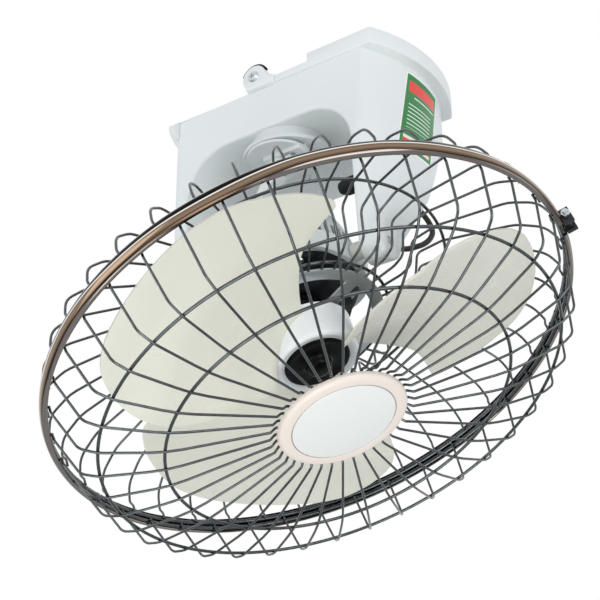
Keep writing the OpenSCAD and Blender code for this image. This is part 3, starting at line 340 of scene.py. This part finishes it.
lead_line = bpy.data.curves.new("motor_lead_cable", "CURVE")
lead_line.dimensions = "3D"
lead_line.bevel_depth = LEAD_RADIUS * MM
lead_line.bevel_resolution = 5
lead_line.use_fill_caps = True
lead_line.resolution_u = 6
spline = lead_line.splines.new("BEZIER")
spline.bezier_points.add(len(lead_points) - 1)
for knot, point in zip(spline.bezier_points, lead_points):
    knot.co = point
    knot.handle_left_type = knot.handle_right_type = "AUTO"
lead_line.materials.append(sheath)
lead = bpy.data.objects.new("motor_lead_cable", lead_line)
bpy.context.scene.collection.objects.link(lead)
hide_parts("motor_lead")
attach(lead, "housing")

# %% [markdown]
# ## Light, air and floor
# A large soft lamp stands on each side, as in a catalogue studio, so there are
# no hard shadows. A third lies low in front, because the blades, the cap and the
# underside face down, and only light from below makes them as pale as the walls.
# The world lights the object evenly from all round. Camera, glossy and
# transmission rays see pure white instead, which gives the white page and the
# white reflections, without more light on the fan.

# %% World
world = bpy.data.worlds.new("studio_air")
bpy.context.scene.world = world
world.use_nodes = True
air = world.node_tree
air.nodes.clear()
rays = add(air, "LightPath")
seen = add(air, "Math", {0: rays.outputs["Is Camera Ray"], 1: rays.outputs["Is Glossy Ray"]},
           operation="MAXIMUM")
seen_all = add(air, "Math", {0: seen.outputs[0], 1: rays.outputs["Is Transmission Ray"]},
               operation="MAXIMUM")
page = add(air, "Background", {"Color": colour("ffffff"), "Strength": 1.0})
fill = add(air, "Background", {"Color": colour("F4F8FF"), "Strength": 0.62})
both = add(air, "MixShader", {"Fac": seen_all.outputs[0], 1: fill.outputs[0],
                              2: page.outputs[0]})
add(air, "OutputWorld", {"Surface": both.outputs[0]})
bpy.context.scene.view_settings.view_transform = "Standard"

# %% Floor and lamps
FLOOR_DROP = 2.4                # metres from the ceiling
bm = bmesh.new()
bmesh.ops.create_grid(bm, x_segments=2, y_segments=2, size=7.0,
                      matrix=Matrix.Translation((0, 0, -FLOOR_DROP)))
floor_mesh = bpy.data.meshes.new("studio_floor")
bm.to_mesh(floor_mesh)
bm.free()
floor = bpy.data.objects.new("studio_floor", floor_mesh)
bpy.context.scene.collection.objects.link(floor)
floor_mesh.materials.append(finish_of("floor_paint", "F2F2F0", 0.7)[0])


def lamp(name, place, size, power):
    """A soft square lamp that looks at the fan."""
    light = bpy.data.lights.new(name, "AREA")
    light.shape = "SQUARE"
    light.size = size
    light.energy = power
    thing = bpy.data.objects.new(name, light)
    bpy.context.scene.collection.objects.link(thing)
    thing.location = place
    thing.rotation_euler = (gimbal_point - Vector(place)).to_track_quat("-Z", "Y").to_euler()


lamp("window_left", (-1.3, -2.0, -0.1), 1.6, 12)
lamp("window_right", (1.9, -0.9, -0.3), 1.4, 14)
lamp("low_front", (0.35, -0.8, -1.6), 1.3, 15)
print("lamps", [light.name for light in bpy.data.lights])

# %% [markdown]
# ## Shaping tools
# A round part starts as a half section that is spun about its axis, and its
# sharp edges are then bevelled, because a mould or a press never leaves an edge
# perfectly sharp, and the highlight on that small round is what makes a part
# look real. Parts whose CAD solid already has the right shape are copied, their
# triangles joined to large faces, and their edges rounded in the same way.

# %% Shaping tools
FULL_TURN = 2 * math.pi


def sharp_edges(bm, sharper, only=None):
    """Edges between two faces that meet at more than this angle."""
    return [edge for edge in bm.edges
            if len(edge.link_faces) == 2 and edge.calc_face_angle(0) > math.radians(sharper)
            and (only is None or only(edge))]


def round_edges(bm, width, segments=3, sharper=35, only=None, clamp=True):
    """Rounds those edges with a small bevel."""
    edges = sharp_edges(bm, sharper, only)
    bmesh.ops.bevel(bm, geom=edges, offset=width, offset_type="OFFSET", segments=segments,
                    profile=0.5, affect="EDGES", clamp_overlap=clamp, material=-1)
    return len(edges)


def spun(bm, section, steps=96, turn=FULL_TURN, closed=False):
    """Spins a half section of (radius, height) points about the Z axis."""
    verts = [bm.verts.new((radius, 0, height)) for radius, height in section]
    pairs = list(zip(verts, verts[1:])) + ([(verts[-1], verts[0])] if closed else [])
    edges = [bm.edges.new(pair) for pair in pairs]
    whole = abs(turn - FULL_TURN) < 1e-6
    bmesh.ops.spin(bm, geom=verts + edges, cent=(0, 0, 0), axis=(0, 0, 1), angle=turn,
                   steps=steps, use_merge=whole)
    bmesh.ops.remove_doubles(bm, verts=bm.verts, dist=1e-4)
    return bm


def all_of(bm):
    """Everything in the bmesh."""
    return bm.verts[:] + bm.edges[:] + bm.faces[:]


def new_piece(name, bm, place, material, body, nodes=(), smooth=32, outwards=True):
    """Carries a bmesh to its place and makes it a smooth piece of the fan."""
    bmesh.ops.transform(bm, matrix=place, verts=bm.verts)
    if outwards:
        bmesh.ops.recalc_face_normals(bm, faces=bm.faces)
    mesh = bpy.data.meshes.new(name)
    bm.to_mesh(mesh)
    bm.free()
    mesh.materials.append(material)
    mesh.shade_smooth()
    mesh.set_sharp_from_angle(angle=math.radians(smooth))
    piece = bpy.data.objects.new(name, mesh)
    bpy.context.scene.collection.objects.link(piece)
    if nodes:
        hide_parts(*nodes)
    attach(piece, body)
    return piece


def copy_of(node):
    """The node's mesh in millimetres, with its triangles joined to large faces."""
    bm = bmesh.new()
    bm.from_mesh(frame["nodes"][node].data)
    bmesh.ops.scale(bm, vec=(1 / MM,) * 3, verts=bm.verts)
    bmesh.ops.remove_doubles(bm, verts=bm.verts, dist=0.002)
    bmesh.ops.dissolve_limit(bm, angle_limit=math.radians(1), verts=bm.verts, edges=bm.edges)
    return bm


body_of = {node: body for body, nodes in frame["record"]["behaviour"]["bodies"].items()
           for node in nodes}


def softened(node, width, material, segments=3, sharper=35):
    """A piece with the node's own shape and rounded edges."""
    bm = copy_of(node)
    round_edges(bm, width, segments, sharper)
    return new_piece(node + "_soft", bm, AT_CEILING, material, body_of[node],
                     (node,), outwards=False)


print("nodes to finish:", len(frame["nodes"]))

# %% [markdown]
# ## Housing
# The housing is one moulding of white ABS: a box with rounded ends, an arch that
# swallows the gimbal, and two hollow legs. It could be lofted from scratch, but
# its CAD solid has the true shape, so the lesson copies it and only works on
# its edges. The mould has three kinds: wide rounds where the arch and the legs
# meet the walls, small ones round the rim, and almost sharp ones at the bores.

# %% Housing
WALL_ROUND = 3.2
RIM_ROUND = 1.1
RIM_BOTTOM = -28.5
PIN_HEIGHT = gimbal_point.z / MM
BORES = [                       # a point of each axis, its direction and the reach to spare
    ((0, -47, PIN_HEIGHT), (1, 0, 0), 7), ((0, -47, 0), (0, 0, 1), 9),
    ((97, 0, PIN_HEIGHT + 74), (0, 1, 0), 8), ((96, 0, PIN_HEIGHT + 16.5), (0, 1, 0), 8),
    ((-11, 0, -15.5), (0, 1, 0), 5),
]
WALL_RADIUS = 124               # of the rounded ends, from the ceiling's centre


def off_the_bores(edge):
    """True where an edge lies clear of every bore."""
    middle = (edge.verts[0].co + edge.verts[1].co) / 2
    for point, way, reach in BORES:
        arm = middle - Vector(point)
        if (arm - arm.dot(Vector(way)) * Vector(way)).length < reach:
            return False
    return True


def on_the_flange(edge):
    """True for the edges that stand out from the walls, round the whole rim."""
    return any(Vector(vert.co[:2]).length > WALL_RADIUS + 0.6 for vert in edge.verts)


def wall_edge(edge):
    """True for the outer corners of the arch and the legs."""
    return (edge.is_convex and max(v.co.z for v in edge.verts) < RIM_BOTTOM
            and off_the_bores(edge) and not on_the_flange(edge))


def rim_edge(edge):
    """True for the rim's outer edges. The test on x and y leaves the inner walls out."""
    low = min(v.co.z for v in edge.verts)
    outside = (min(abs(v.co.y) for v in edge.verts)
               + 0.4 * max(abs(v.co.x) for v in edge.verts) > 60)
    return (edge.is_convex and off_the_bores(edge)
            and (on_the_flange(edge) or (low > RIM_BOTTOM - 3 and outside)))


bm = copy_of("housing_shell")
walls = round_edges(bm, WALL_ROUND, 4, 24, wall_edge, clamp=False)
rims = round_edges(bm, RIM_ROUND, 3, 40, rim_edge, clamp=False)
housing = new_piece("housing_moulding", bm, AT_CEILING, housing_abs, "housing",
                    ("housing_shell",), smooth=28, outwards=False)
print("rounded edges: walls", walls, "rim", rims, "faces", len(housing.data.polygons))

# %% [markdown]
# ## Guard wires
# Each half of the guard is a cage of forty bent wires, spot welded to ring
# wires. A wire bender works with a round former, so every bend is a true arc and
# the wire stays round. That is also the easiest way to model it: a small circle
# is extruded along each straight stretch and spun round the centre of each bend.
# One wire is made and then spun into forty copies. Eight sides are enough for a
# 2 mm wire, which keeps the whole cage light.

# %% Wire bender
def bend_wire(bm, points, wire, former, sides=8):
    """A round wire through points (radius, height), bent on a former at each of them."""
    points = [Vector((radius, 0, height)) for radius, height in points]
    legs = [b - a for a, b in zip(points, points[1:])]
    upright = legs[0].to_track_quat("Z", "Y").to_matrix().to_4x4()
    verts = bmesh.ops.create_circle(bm, cap_ends=True, segments=sides, radius=wire,
                                    matrix=Matrix.Translation(points[0]) @ upright)["verts"]
    rim = list({edge for vert in verts for edge in vert.link_edges})
    here = points[0]
    for i, leg in enumerate(legs):
        way, cut, last = leg.normalized(), 0, i + 1 == len(legs)
        if not last:
            angle = leg.angle(legs[i + 1])
            room = 0.48 * min(leg.length, legs[i + 1].length)
            arc = min(former[i] if isinstance(former, (list, tuple)) else former,
                      room / math.tan(angle / 2))
            cut = arc * math.tan(angle / 2)
        stop = points[i + 1] - way * cut
        grown = bmesh.ops.extrude_edge_only(bm, edges=rim)["geom"]
        verts = [item for item in grown if isinstance(item, bmesh.types.BMVert)]
        fresh = set(verts)
        rim = [item for item in grown
               if isinstance(item, bmesh.types.BMEdge) and fresh.issuperset(item.verts)]
        bmesh.ops.translate(bm, vec=stop - here, verts=verts)
        here = stop
        if not last:
            axis = way.cross(legs[i + 1]).normalized()
            centre = here + axis.cross(way) * arc
            steps = max(2, round(math.degrees(angle) / 10))
            swept = bmesh.ops.spin(bm, geom=verts + rim, cent=centre, axis=axis, angle=angle,
                                   steps=steps)["geom_last"]
            verts = [item for item in swept if isinstance(item, bmesh.types.BMVert)]
            rim = [item for item in swept if isinstance(item, bmesh.types.BMEdge)]
            here = centre + Matrix.Rotation(angle, 3, axis) @ (here - centre)
    bmesh.ops.contextual_create(bm, geom=rim)


def forty(bm, first_angle):
    """Turns one wire to its first place and spins it into a full set."""
    bmesh.ops.rotate(bm, cent=(0, 0, 0), matrix=Matrix.Rotation(first_angle, 3, "Z"),
                     verts=bm.verts)
    bmesh.ops.spin(bm, geom=all_of(bm), cent=(0, 0, 0), axis=(0, 0, 1),
                   angle=FULL_TURN * (WIRES - 1) / WIRES, steps=WIRES - 1, use_duplicate=True)


def wire_ring(bm, radius, height, wire, steps=180, sides=10):
    """A ring of round wire about the fan's axis."""
    stand = Matrix.Translation((radius, 0, height)) @ Matrix.Rotation(math.pi / 2, 4, "X")
    verts = bmesh.ops.create_circle(bm, segments=sides, radius=wire, matrix=stand)["verts"]
    edges = list({edge for vert in verts for edge in vert.link_edges})
    bmesh.ops.spin(bm, geom=verts + edges, cent=(0, 0, 0), axis=(0, 0, 1), angle=FULL_TURN,
                   steps=steps, use_merge=True)


WIRES = 40
WIRE = 1.1
RING_WIRE = 1.4
RIM_WIRE = 2.4
RIM_RADIUS = 226.1
WIRE_END = RIM_RADIUS - RIM_WIRE - WIRE - 0.1
BELOW = WIRE + RING_WIRE + 0.1  # a ring lies behind the wires that cross it

# %% [markdown]
# The rear wires start at the motor's plate, dip behind the blades and sweep out to
# a wide round shoulder behind the belt, where they turn forward to the rim wire.
# In the picture those shoulders are the row of round loops that look out past
# the belt. The front wires step down under the cap, run almost flat over the
# blades and turn back at the shoulder. Heights start at the middle of the belt.

# %% Both halves of the guard
REAR_WIRE = [(72.1, -32), (95, -33), (105, -37), (115, -59), (139, -60.5), (200, -44.5),
             (220.4, -29.6), (224.9, -13.5), (WIRE_END, -7.9), (WIRE_END, -1.6)]
REAR_FORMERS = [20, 10, 8, 12, 30, 24, 5, 4]
FRONT_WIRE = [(47, 62), (56, 62), (61, 65.8), (146, 66), (197, 54.4), (208.3, 47.8),
              (211, 44), (WIRE_END, 8), (WIRE_END, 1.6)]
FRONT_FORMERS = [3, 3, 120, 30, 8, 8, 8]

bm = bmesh.new()
bend_wire(bm, REAR_WIRE, WIRE, REAR_FORMERS)
forty(bm, math.pi / WIRES)
rear_wires = new_piece("rear_guard_wires", bm, AT_BELT, guard_wire_painted_dark, "head",
                       ("rear_guard",), smooth=60)
bm = bmesh.new()
bend_wire(bm, FRONT_WIRE, WIRE, FRONT_FORMERS)
forty(bm, 0)
front_wires = new_piece("front_guard_wires", bm, AT_BELT, guard_wire_painted_dark, "head",
                        ("front_guard",), smooth=60)
bm = bmesh.new()
wire_ring(bm, 141, -60.3 - BELOW, RING_WIRE)
wire_ring(bm, 77, -32.1 - BELOW, RING_WIRE, steps=120)
wire_ring(bm, RIM_RADIUS, -3.1, RIM_WIRE)
rear_hoops = new_piece("rear_guard_hoops", bm, AT_BELT, guard_wire_painted_dark, "head",
                       ("rear_guard_rings",), smooth=60)
bm = bmesh.new()
wire_ring(bm, 146, 66 - BELOW, RING_WIRE)
wire_ring(bm, 196, 54.6 - BELOW, RING_WIRE)
wire_ring(bm, RIM_RADIUS, 3.1, RIM_WIRE)
front_hoops = new_piece("front_guard_hoops", bm, AT_BELT, guard_wire_painted_dark, "head",
                        ("front_guard_rings",), smooth=60)
for piece in (rear_wires, front_wires, rear_hoops, front_hoops):
    print(piece.name, len(piece.data.polygons), "faces")

# %% [markdown]
# ## Belt and clamp
# The belt is a strip of bright steel, rolled to a channel with a crowned face
# and then bent round the guard. Its two ends meet in a black clamp whose screw
# pulls it tight on the rim wires. The channel's section is drawn once and spun
# almost all the way round, so its long highlights run true.

# %% Belt
CLAMP_TURN = math.radians(166)
BELT_GAP = math.radians(2)
CROWN = [(230.0, 0.0), (229.93, 1.6), (229.7, 3.2), (229.25, 4.6), (228.5, 5.8),
         (227.6, 6.55), (226.4, 6.95), (225.0, 7.0)]
INSIDE = [(225.0, 6.1), (226.2, 6.0), (227.2, 5.5), (227.9, 4.7), (228.5, 3.4), (228.8, 0.0)]
half = CROWN + INSIDE
section = half + [(radius, -height) for radius, height in reversed(half) if height]
bm = bmesh.new()
spun(bm, section, steps=240, turn=FULL_TURN - 2 * BELT_GAP, closed=True)
bmesh.ops.holes_fill(bm, edges=[edge for edge in bm.edges if edge.is_boundary])
bmesh.ops.rotate(bm, cent=(0, 0, 0), verts=bm.verts,
                 matrix=Matrix.Rotation(CLAMP_TURN + BELT_GAP, 3, "Z"))
belt = new_piece("guard_belt_channel", bm, AT_BELT, belt_chrome, "head",
                 ("guard_belt",), smooth=40)
print("belt", len(belt.data.polygons), "faces")

# %% [markdown]
# ## Front cap and its face
# The cap is a cream moulding that hides the wires' ends. A white disc is pressed
# into it, and a narrow groove is left round the disc, which the eye reads as a
# thin dark line. Both are spun, and the disc is crowned like a watch glass.

# %% Cap
CAP_BACK = 63.2
bm = bmesh.new()
cap_section = [(0, 0), (54.2, 0), (55, 0.8), (55, 2.4), (54.6, 3.9), (53.7, 5.0), (52.3, 5.7),
               (50.3, 6.0), (47.5, 6.12), (44.9, 6.05), (44.55, 5.8), (44.5, 3.7), (0, 3.7)]
spun(bm, [(radius, CAP_BACK + height) for radius, height in cap_section], steps=128)
cap = new_piece("front_cap_moulding", bm, AT_BELT, cap_abs, "head",
                ("front_cap",), smooth=30)
bm = bmesh.new()
FACE_BACK = CAP_BACK + 3.75
face_section = [(0, 0), (43.3, 0), (43.75, 0.4), (43.75, 2.1), (43.3, 2.5)]
face_section += [(43.3 * (1 - i / 12), 2.5 + 2.75 * (1 - (1 - i / 12) ** 2))
                 for i in range(1, 13)]
spun(bm, [(radius, FACE_BACK + height) for radius, height in face_section], steps=128)
face = new_piece("cap_face_disc", bm, AT_BELT, face_abs, "head",
                 ("cap_insert",), smooth=30)
print("cap", len(cap.data.polygons), "faces, its disc", len(face.data.polygons))

# %% [markdown]
# ## Blades
# The three blades and their hub are one moulding of ivory plastic. A blade is a
# thin twisted sheet: its rear edge is low and its front edge rises, and the
# front edge sweeps forward at the tip. A flat grid is the right start, because
# its rows can follow the radius and its columns the chord. Each point is moved
# to its place, then the sheet gets its thickness and a round edge. The outline
# is read from a few stations and smoothed between them with a cubic.

# %% One blade
STATIONS = [                    # radius, angle of the rear edge and of the front edge
    (38, 9, 98), (60, 8, 96), (85, 6, 94.5), (110, 3, 92), (135, -4, 88), (154, -8, 84),
    (170, 0, 79), (184, 11, 73), (194, 20, 67), (198, 30, 60),
]
REAR_EDGE = -22                 # height of the rear edge from the belt's middle
FRONT_EDGE = 16                 # height of the front edge up to CLIMB_FROM
CLIMB_FROM = 60                 # radius where the front edge starts to climb
CLIMB_OVER = 75                 # and how far outwards it climbs
CLIMB = 0.2                     # mm upwards for each mm outwards
CUP = 1.6                       # above 1, the sheet turns up late, like a spoon
BLADE_SHEET = 2.2
ALONG, ACROSS = 54, 26


def cubic(before, a, b, after, t):
    """Value between a and b on a smooth curve through all four."""
    return a + 0.5 * t * (b - before + t * (2 * before - 5 * a + 4 * b - after
                                            + t * (3 * (a - b) + after - before)))


def station(u):
    """Radius and both edge angles at u, from 0 at the hub to 1 at the tip."""
    spot = u * (len(STATIONS) - 1)
    i = min(int(spot), len(STATIONS) - 2)
    rows = [STATIONS[min(max(k, 0), len(STATIONS) - 1)] for k in range(i - 1, i + 3)]
    return [cubic(*(row[c] for row in rows), spot - i) for c in range(3)]


def blade_height(radius, angle):
    """Height of the blade's middle at a radius and an angle in degrees."""
    rise = FRONT_EDGE + min(max(radius - CLIMB_FROM, 0), CLIMB_OVER) * CLIMB
    share = max(0, (angle + 8) / (94 + 60 / radius))
    return REAR_EDGE + (rise - REAR_EDGE) * share ** CUP


bm = bmesh.new()
bmesh.ops.create_grid(bm, x_segments=ALONG, y_segments=ACROSS, size=0.5)
for vert in bm.verts:
    radius, rear, front = station(vert.co.x + 0.5)
    angle = rear + (front - rear) * (vert.co.y + 0.5)
    vert.co = (radius * math.cos(math.radians(angle)), radius * math.sin(math.radians(angle)),
               blade_height(radius, angle))
bmesh.ops.remove_doubles(bm, verts=bm.verts, dist=0.01)
bmesh.ops.recalc_face_normals(bm, faces=bm.faces)
bmesh.ops.translate(bm, vec=(0, 0, -BLADE_SHEET / 2), verts=bm.verts)
bmesh.ops.solidify(bm, geom=all_of(bm), thickness=BLADE_SHEET)
heights = [vert.co.z for vert in bm.verts]
print("blade spans heights", round(min(heights), 1), "to", round(max(heights), 1))

# %% [markdown]
# Near the hub the sheet swells, as a moulder makes it to carry the pull of the
# spin, and its thin edges are rounded. Then the blade is spun into three.

# %% Root, edges and three blades
ROOT_END = 56                   # radius where the swelling ends
ROOT_REACH = 18                 # how far inwards it takes to reach its full height
ROOT_SWELL = 1.6
BLADE_EDGE = 0.8
ROTOR_TURN = math.radians(-127.5)

bm.normal_update()
for vert in bm.verts:
    near = max(0, ROOT_END - Vector(vert.co[:2]).length) / ROOT_REACH
    if near and all(edge.calc_face_angle(0) < 1 for edge in vert.link_edges):
        vert.co += vert.normal * ROOT_SWELL * near ** 2
round_edges(bm, BLADE_EDGE, 3, 60)
bmesh.ops.rotate(bm, cent=(0, 0, 0), matrix=Matrix.Rotation(ROTOR_TURN, 3, "Z"), verts=bm.verts)
bmesh.ops.spin(bm, geom=all_of(bm), cent=(0, 0, 0), axis=(0, 0, 1), angle=FULL_TURN * 2 / 3,
               steps=2, use_duplicate=True)
blades = new_piece("three_blades", bm, AT_BELT, blade_as, "rotor",
                   ("blade_moulding",), smooth=50)
print("blades", len(blades.data.polygons), "faces")

# %% [markdown]
# ## Hub and spinner
# The hub is a cone that slips over the motor shaft. Its front rim rolls over to
# a shallow well, where a black cover hides the shaft's end. The cover has a
# raised centre over the shaft, so it catches two small curved highlights.

# %% Hub and spinner
HUB_BACK, HUB_WEB = -27, -1
bm = bmesh.new()
hub_section = [(4, HUB_BACK), (10, HUB_BACK), (10, HUB_WEB), (33.5, HUB_WEB),
               (37.2, HUB_BACK + 0.3), (37.6, HUB_BACK), (39.6, HUB_BACK), (39.95, -26.6),
               (39.2, -18), (38.3, -8), (37.5, 0), (37.1, 2.6), (36.3, 4.2), (35.0, 4.95),
               (33.4, 4.9), (31.9, 4.3), (30.4, 3.4), (29.4, 3.0), (28.8, 3.0),
               (4, 3.0), (4, HUB_BACK)]
spun(bm, hub_section, steps=128)
hub = new_piece("hub_cone", bm, AT_BELT, hub_white_with_painted_light, "rotor",
                ("blade_moulding",), smooth=40)
bm = bmesh.new()
spinner_section = [(4, 3.05), (28.1, 3.05), (28.5, 3.5), (28.4, 4.6), (27.8, 5.2), (26.6, 5.4),
                   (24.0, 5.1), (13.8, 4.9), (12.2, 5.6), (11.2, 7.2), (10.6, 9.5),
                   (9.9, 12.0), (8.6, 13.3), (6.4, 13.9), (0, 14.1), (0, 11.3), (4, 11.3),
                   (4, 3.05)]
spun(bm, spinner_section, steps=96)
spinner = new_piece("spinner_cover", bm, AT_BELT, spinner_abs, "rotor",
                    ("spinner",), smooth=40)
print("hub", len(hub.data.polygons), "spinner", len(spinner.data.polygons))

# %% [markdown]
# ## Motor covers
# The rear cover is a spun steel dome with a ring of narrow slits at its front
# rim, which let the motor breathe. A dome with slits is made from a half circle
# of points: it is spun in narrow columns, every second column is cut away in the
# slit rows, and the sheet then gets its thickness.

# %% Dome
DOME_RADIUS = 69.4
DOME_WALL = 2.2
SLITS = 54
SLIT_ROWS = (14, 19)            # rows between 10 mm and 25 mm in front of the centre
# degrees round from the middle of the dome's back, closer together at the slits
angles = [math.radians(-90 + a) for a in
          (8, 14, 20, 26, 32, 38, 44, 50, 56, 62, 68, 74, 80, 86, 92, 96, 100, 104, 108, 111,
           113.5, 116.3)]
bm = bmesh.new()
spun(bm, [(DOME_RADIUS * math.cos(a), DOME_RADIUS * math.sin(a)) for a in angles],
     steps=2 * SLITS)


def row_and_column(face):
    """Where a face of the dome lies: its height and its place round the axis."""
    middle = face.calc_center_median()
    turn = math.atan2(middle.y, middle.x) % FULL_TURN
    return middle.z, int(turn / FULL_TURN * 2 * SLITS)


slit_low, slit_high = (DOME_RADIUS * math.sin(angles[row]) for row in SLIT_ROWS)
cut = [face for face in bm.faces
       if slit_low < row_and_column(face)[0] < slit_high and row_and_column(face)[1] % 2]
bmesh.ops.delete(bm, geom=cut, context="FACES")
bmesh.ops.recalc_face_normals(bm, faces=bm.faces)
bmesh.ops.solidify(bm, geom=all_of(bm), thickness=DOME_WALL)
dome = new_piece("motor_dome", bm, AT_HEAD, dome_enamel, "head",
                 ("motor_rear_cover",), smooth=30)
print("slits cut:", len(cut), "faces in", SLITS, "slits, left", len(dome.data.polygons))

# %% Dome boss and bearing seat
bm = bmesh.new()
boss_section = [(4, -71), (11.3, -71), (12, -70.3), (12, -67), (14.5, -65.6), (14.5, -36.4),
                (14, -36), (11, -36), (11, -43), (6, -43), (6, -62), (4, -62), (4, -71)]
spun(bm, boss_section, steps=64)
boss = new_piece("dome_boss", bm, AT_HEAD, dome_enamel, "head",
                 ("motor_rear_cover",), smooth=30)
print("boss", len(boss.data.polygons), "faces")

# %% [markdown]
# ## Metal parts, rubber and screws
# The other parts already have their shape in the CAD model. Each one is copied
# and its edges are rounded as far as its process rounds them: about 1 mm on
# castings and rubber, 0.3 mm on turned and pressed parts. Then it gets the
# finish that its real counterpart has.

# %% Parts with rounded edges
ROUNDED = [                     # node, width of the round in mm, finish
    ("ceiling_plate", 0.3, zinc_plate), ("lug_screws", 0.2, zinc_screws),
    ("lug_pads", 0.6, rubber), ("leg_pins", 0.4, ground_steel),
    ("leg_spacers", 0.4, sleeve_nylon), ("orbit_motor", 0.8, zinc_plate),
    ("gear_cover", 1.2, cover_enamel), ("gear_cover_screws", 0.15, zinc_screws),
    ("run_capacitor", 1.5, case_plastic), ("terminal_block", 0.6, case_plastic),
    ("rubber_buffer", 1.2, rubber), ("lead_grommets", 0.5, rubber),
    ("drive_shaft", 0.4, ground_steel), ("crank_disc", 0.8, cover_enamel),
    ("crank_arm", 1.0, white_enamel), ("crank_bolts", 0.3, zinc_screws),
    ("crank_washers", 0.2, zinc_screws), ("gimbal_ring", 0.8, cover_enamel),
    ("ring_pivot_screws", 0.3, zinc_screws), ("motor_front_cover", 0.7, black_enamel),
    ("motor_cover_screws", 0.2, zinc_screws), ("tail_pin", 0.3, ground_steel),
    ("guard_plate", 0.3, zinc_plate), ("guard_plate_screws", 0.2, zinc_screws),
    ("belt_clamp", 0.8, black_enamel), ("belt_screw", 0.25, zinc_screws),
    ("belt_nut", 0.3, zinc_screws), ("cap_backing", 0.3, zinc_plate),
    ("cap_screws", 0.2, zinc_screws),
]
for node_name, width, finish in ROUNDED:
    piece = softened(node_name, width, finish)
    print(node_name, len(piece.data.polygons), end="; ")

# %% [markdown]
# Parts deep inside the motor, and the label, keep their CAD meshes. They still
# get true finishes, because a reader may take the fan apart.

# %% Parts kept as they are
KEPT = {
    "drive_bush": bronze, "tail_bearing": bearing_steel, "stator_core": stacked_steel,
    "stator_winding": wound_copper, "motor_bearings": bearing_steel, "tail_clip": blued_steel,
    "motor_shaft": ground_steel, "rotor_core": stacked_steel, "hub_pin": ground_steel,
}


def dress(node_name, finish):
    """Gives a CAD node another finish on all its slots."""
    for material_slot in frame["nodes"][node_name].material_slots:
        material_slot.material = finish


for node_name, finish in KEPT.items():
    dress(node_name, finish)
print("kept:", ", ".join(KEPT))

# %% [markdown]
# ## Label
# The label on the rounded end is a printed film, so its colours lie flat
# and even under a thin gloss. It leans, because it was drawn on the flat: the
# pattern therefore first turns a place into shares of its width and height, and
# then paints a white edge, a green field, a red band and short white bars.

# %% Label
label_film, tree, shader, at = finish_of("printed_label_film", "0B7B33", 0.28)
place = add(tree, "SeparateXYZ", {0: at})
FOOT, TOP = PIN_HEIGHT + 94, PIN_HEIGHT + 182.5
LEFT, RIGHT = (-40.0, -24.0), (6.0, 28.5)       # at the foot and at the top
BAR_STEP, BAR_HALF = 0.025, 0.006               # shares of the height
GREEN, RED, OFF_WHITE = "0B7B33", "E8321F", "E9F2EA"


def blend(value, low, high, start, end):
    """Carries value from low...high to start...end, also beyond both ends."""
    return add(tree, "MapRange", {"Value": value, "From Min": low, "From Max": high,
                                  "To Min": start, "To Max": end}, clamp=False).outputs[0]


def between(value, low, high):
    """1 where value lies between low and high, and 0 elsewhere."""
    above = add(tree, "Math", {0: value, 1: low}, operation="GREATER_THAN").outputs[0]
    under = add(tree, "Math", {0: value, 1: high}, operation="LESS_THAN").outputs[0]
    return add(tree, "Math", {0: above, 1: under}, operation="MULTIPLY").outputs[0]


up = blend(place.outputs["Z"], FOOT, TOP, 0, 1)
left = blend(up, 0, 1, *LEFT)
width = blend(up, 0, 1, RIGHT[0] - LEFT[0], RIGHT[1] - LEFT[1])
from_left = add(tree, "Math", {0: place.outputs["Y"], 1: left}, operation="SUBTRACT").outputs[0]
over = add(tree, "Math", {0: from_left, 1: width}, operation="DIVIDE").outputs[0]


def patch(start, end, low, high):
    """1 inside a block given in shares of the label's width and height."""
    return add(tree, "Math", {0: between(over, start, end), 1: between(up, low, high)},
               operation="MULTIPLY").outputs[0]


lines = add(tree, "Math", {0: up, 1: BAR_STEP}, operation="PINGPONG").outputs[0]
bars = add(tree, "Math", {0: lines, 1: BAR_HALF}, operation="LESS_THAN").outputs[0]
bar_block = add(tree, "Math", {0: patch(0.14, 0.82, 0.3, 0.62), 1: bars},
                operation="MULTIPLY").outputs[0]
print_of_label = colour("F4F5F2")
for mask, ink in ((patch(0.03, 0.97, 0.025, 0.975), GREEN), (patch(0.1, 0.9, 0.76, 0.9), RED),
                  (patch(0.26, 0.9, 0.7, 0.715), OFF_WHITE), (bar_block, OFF_WHITE),
                  (patch(0.1, 0.9, 0.07, 0.2), "F1E6E2"), (patch(0.1, 0.9, 0.11, 0.16), RED)):
    print_of_label = add(tree, "Mix", {0: mask, "A": print_of_label, "B": colour(ink)},
                         data_type="RGBA").outputs["Result"]
tree.links.new(print_of_label, shader.inputs["Base Color"])
dress("side_label", label_film)
print("label leans over", RIGHT[1] - RIGHT[0], "mm in", round(TOP - FOOT, 1), "mm of height")
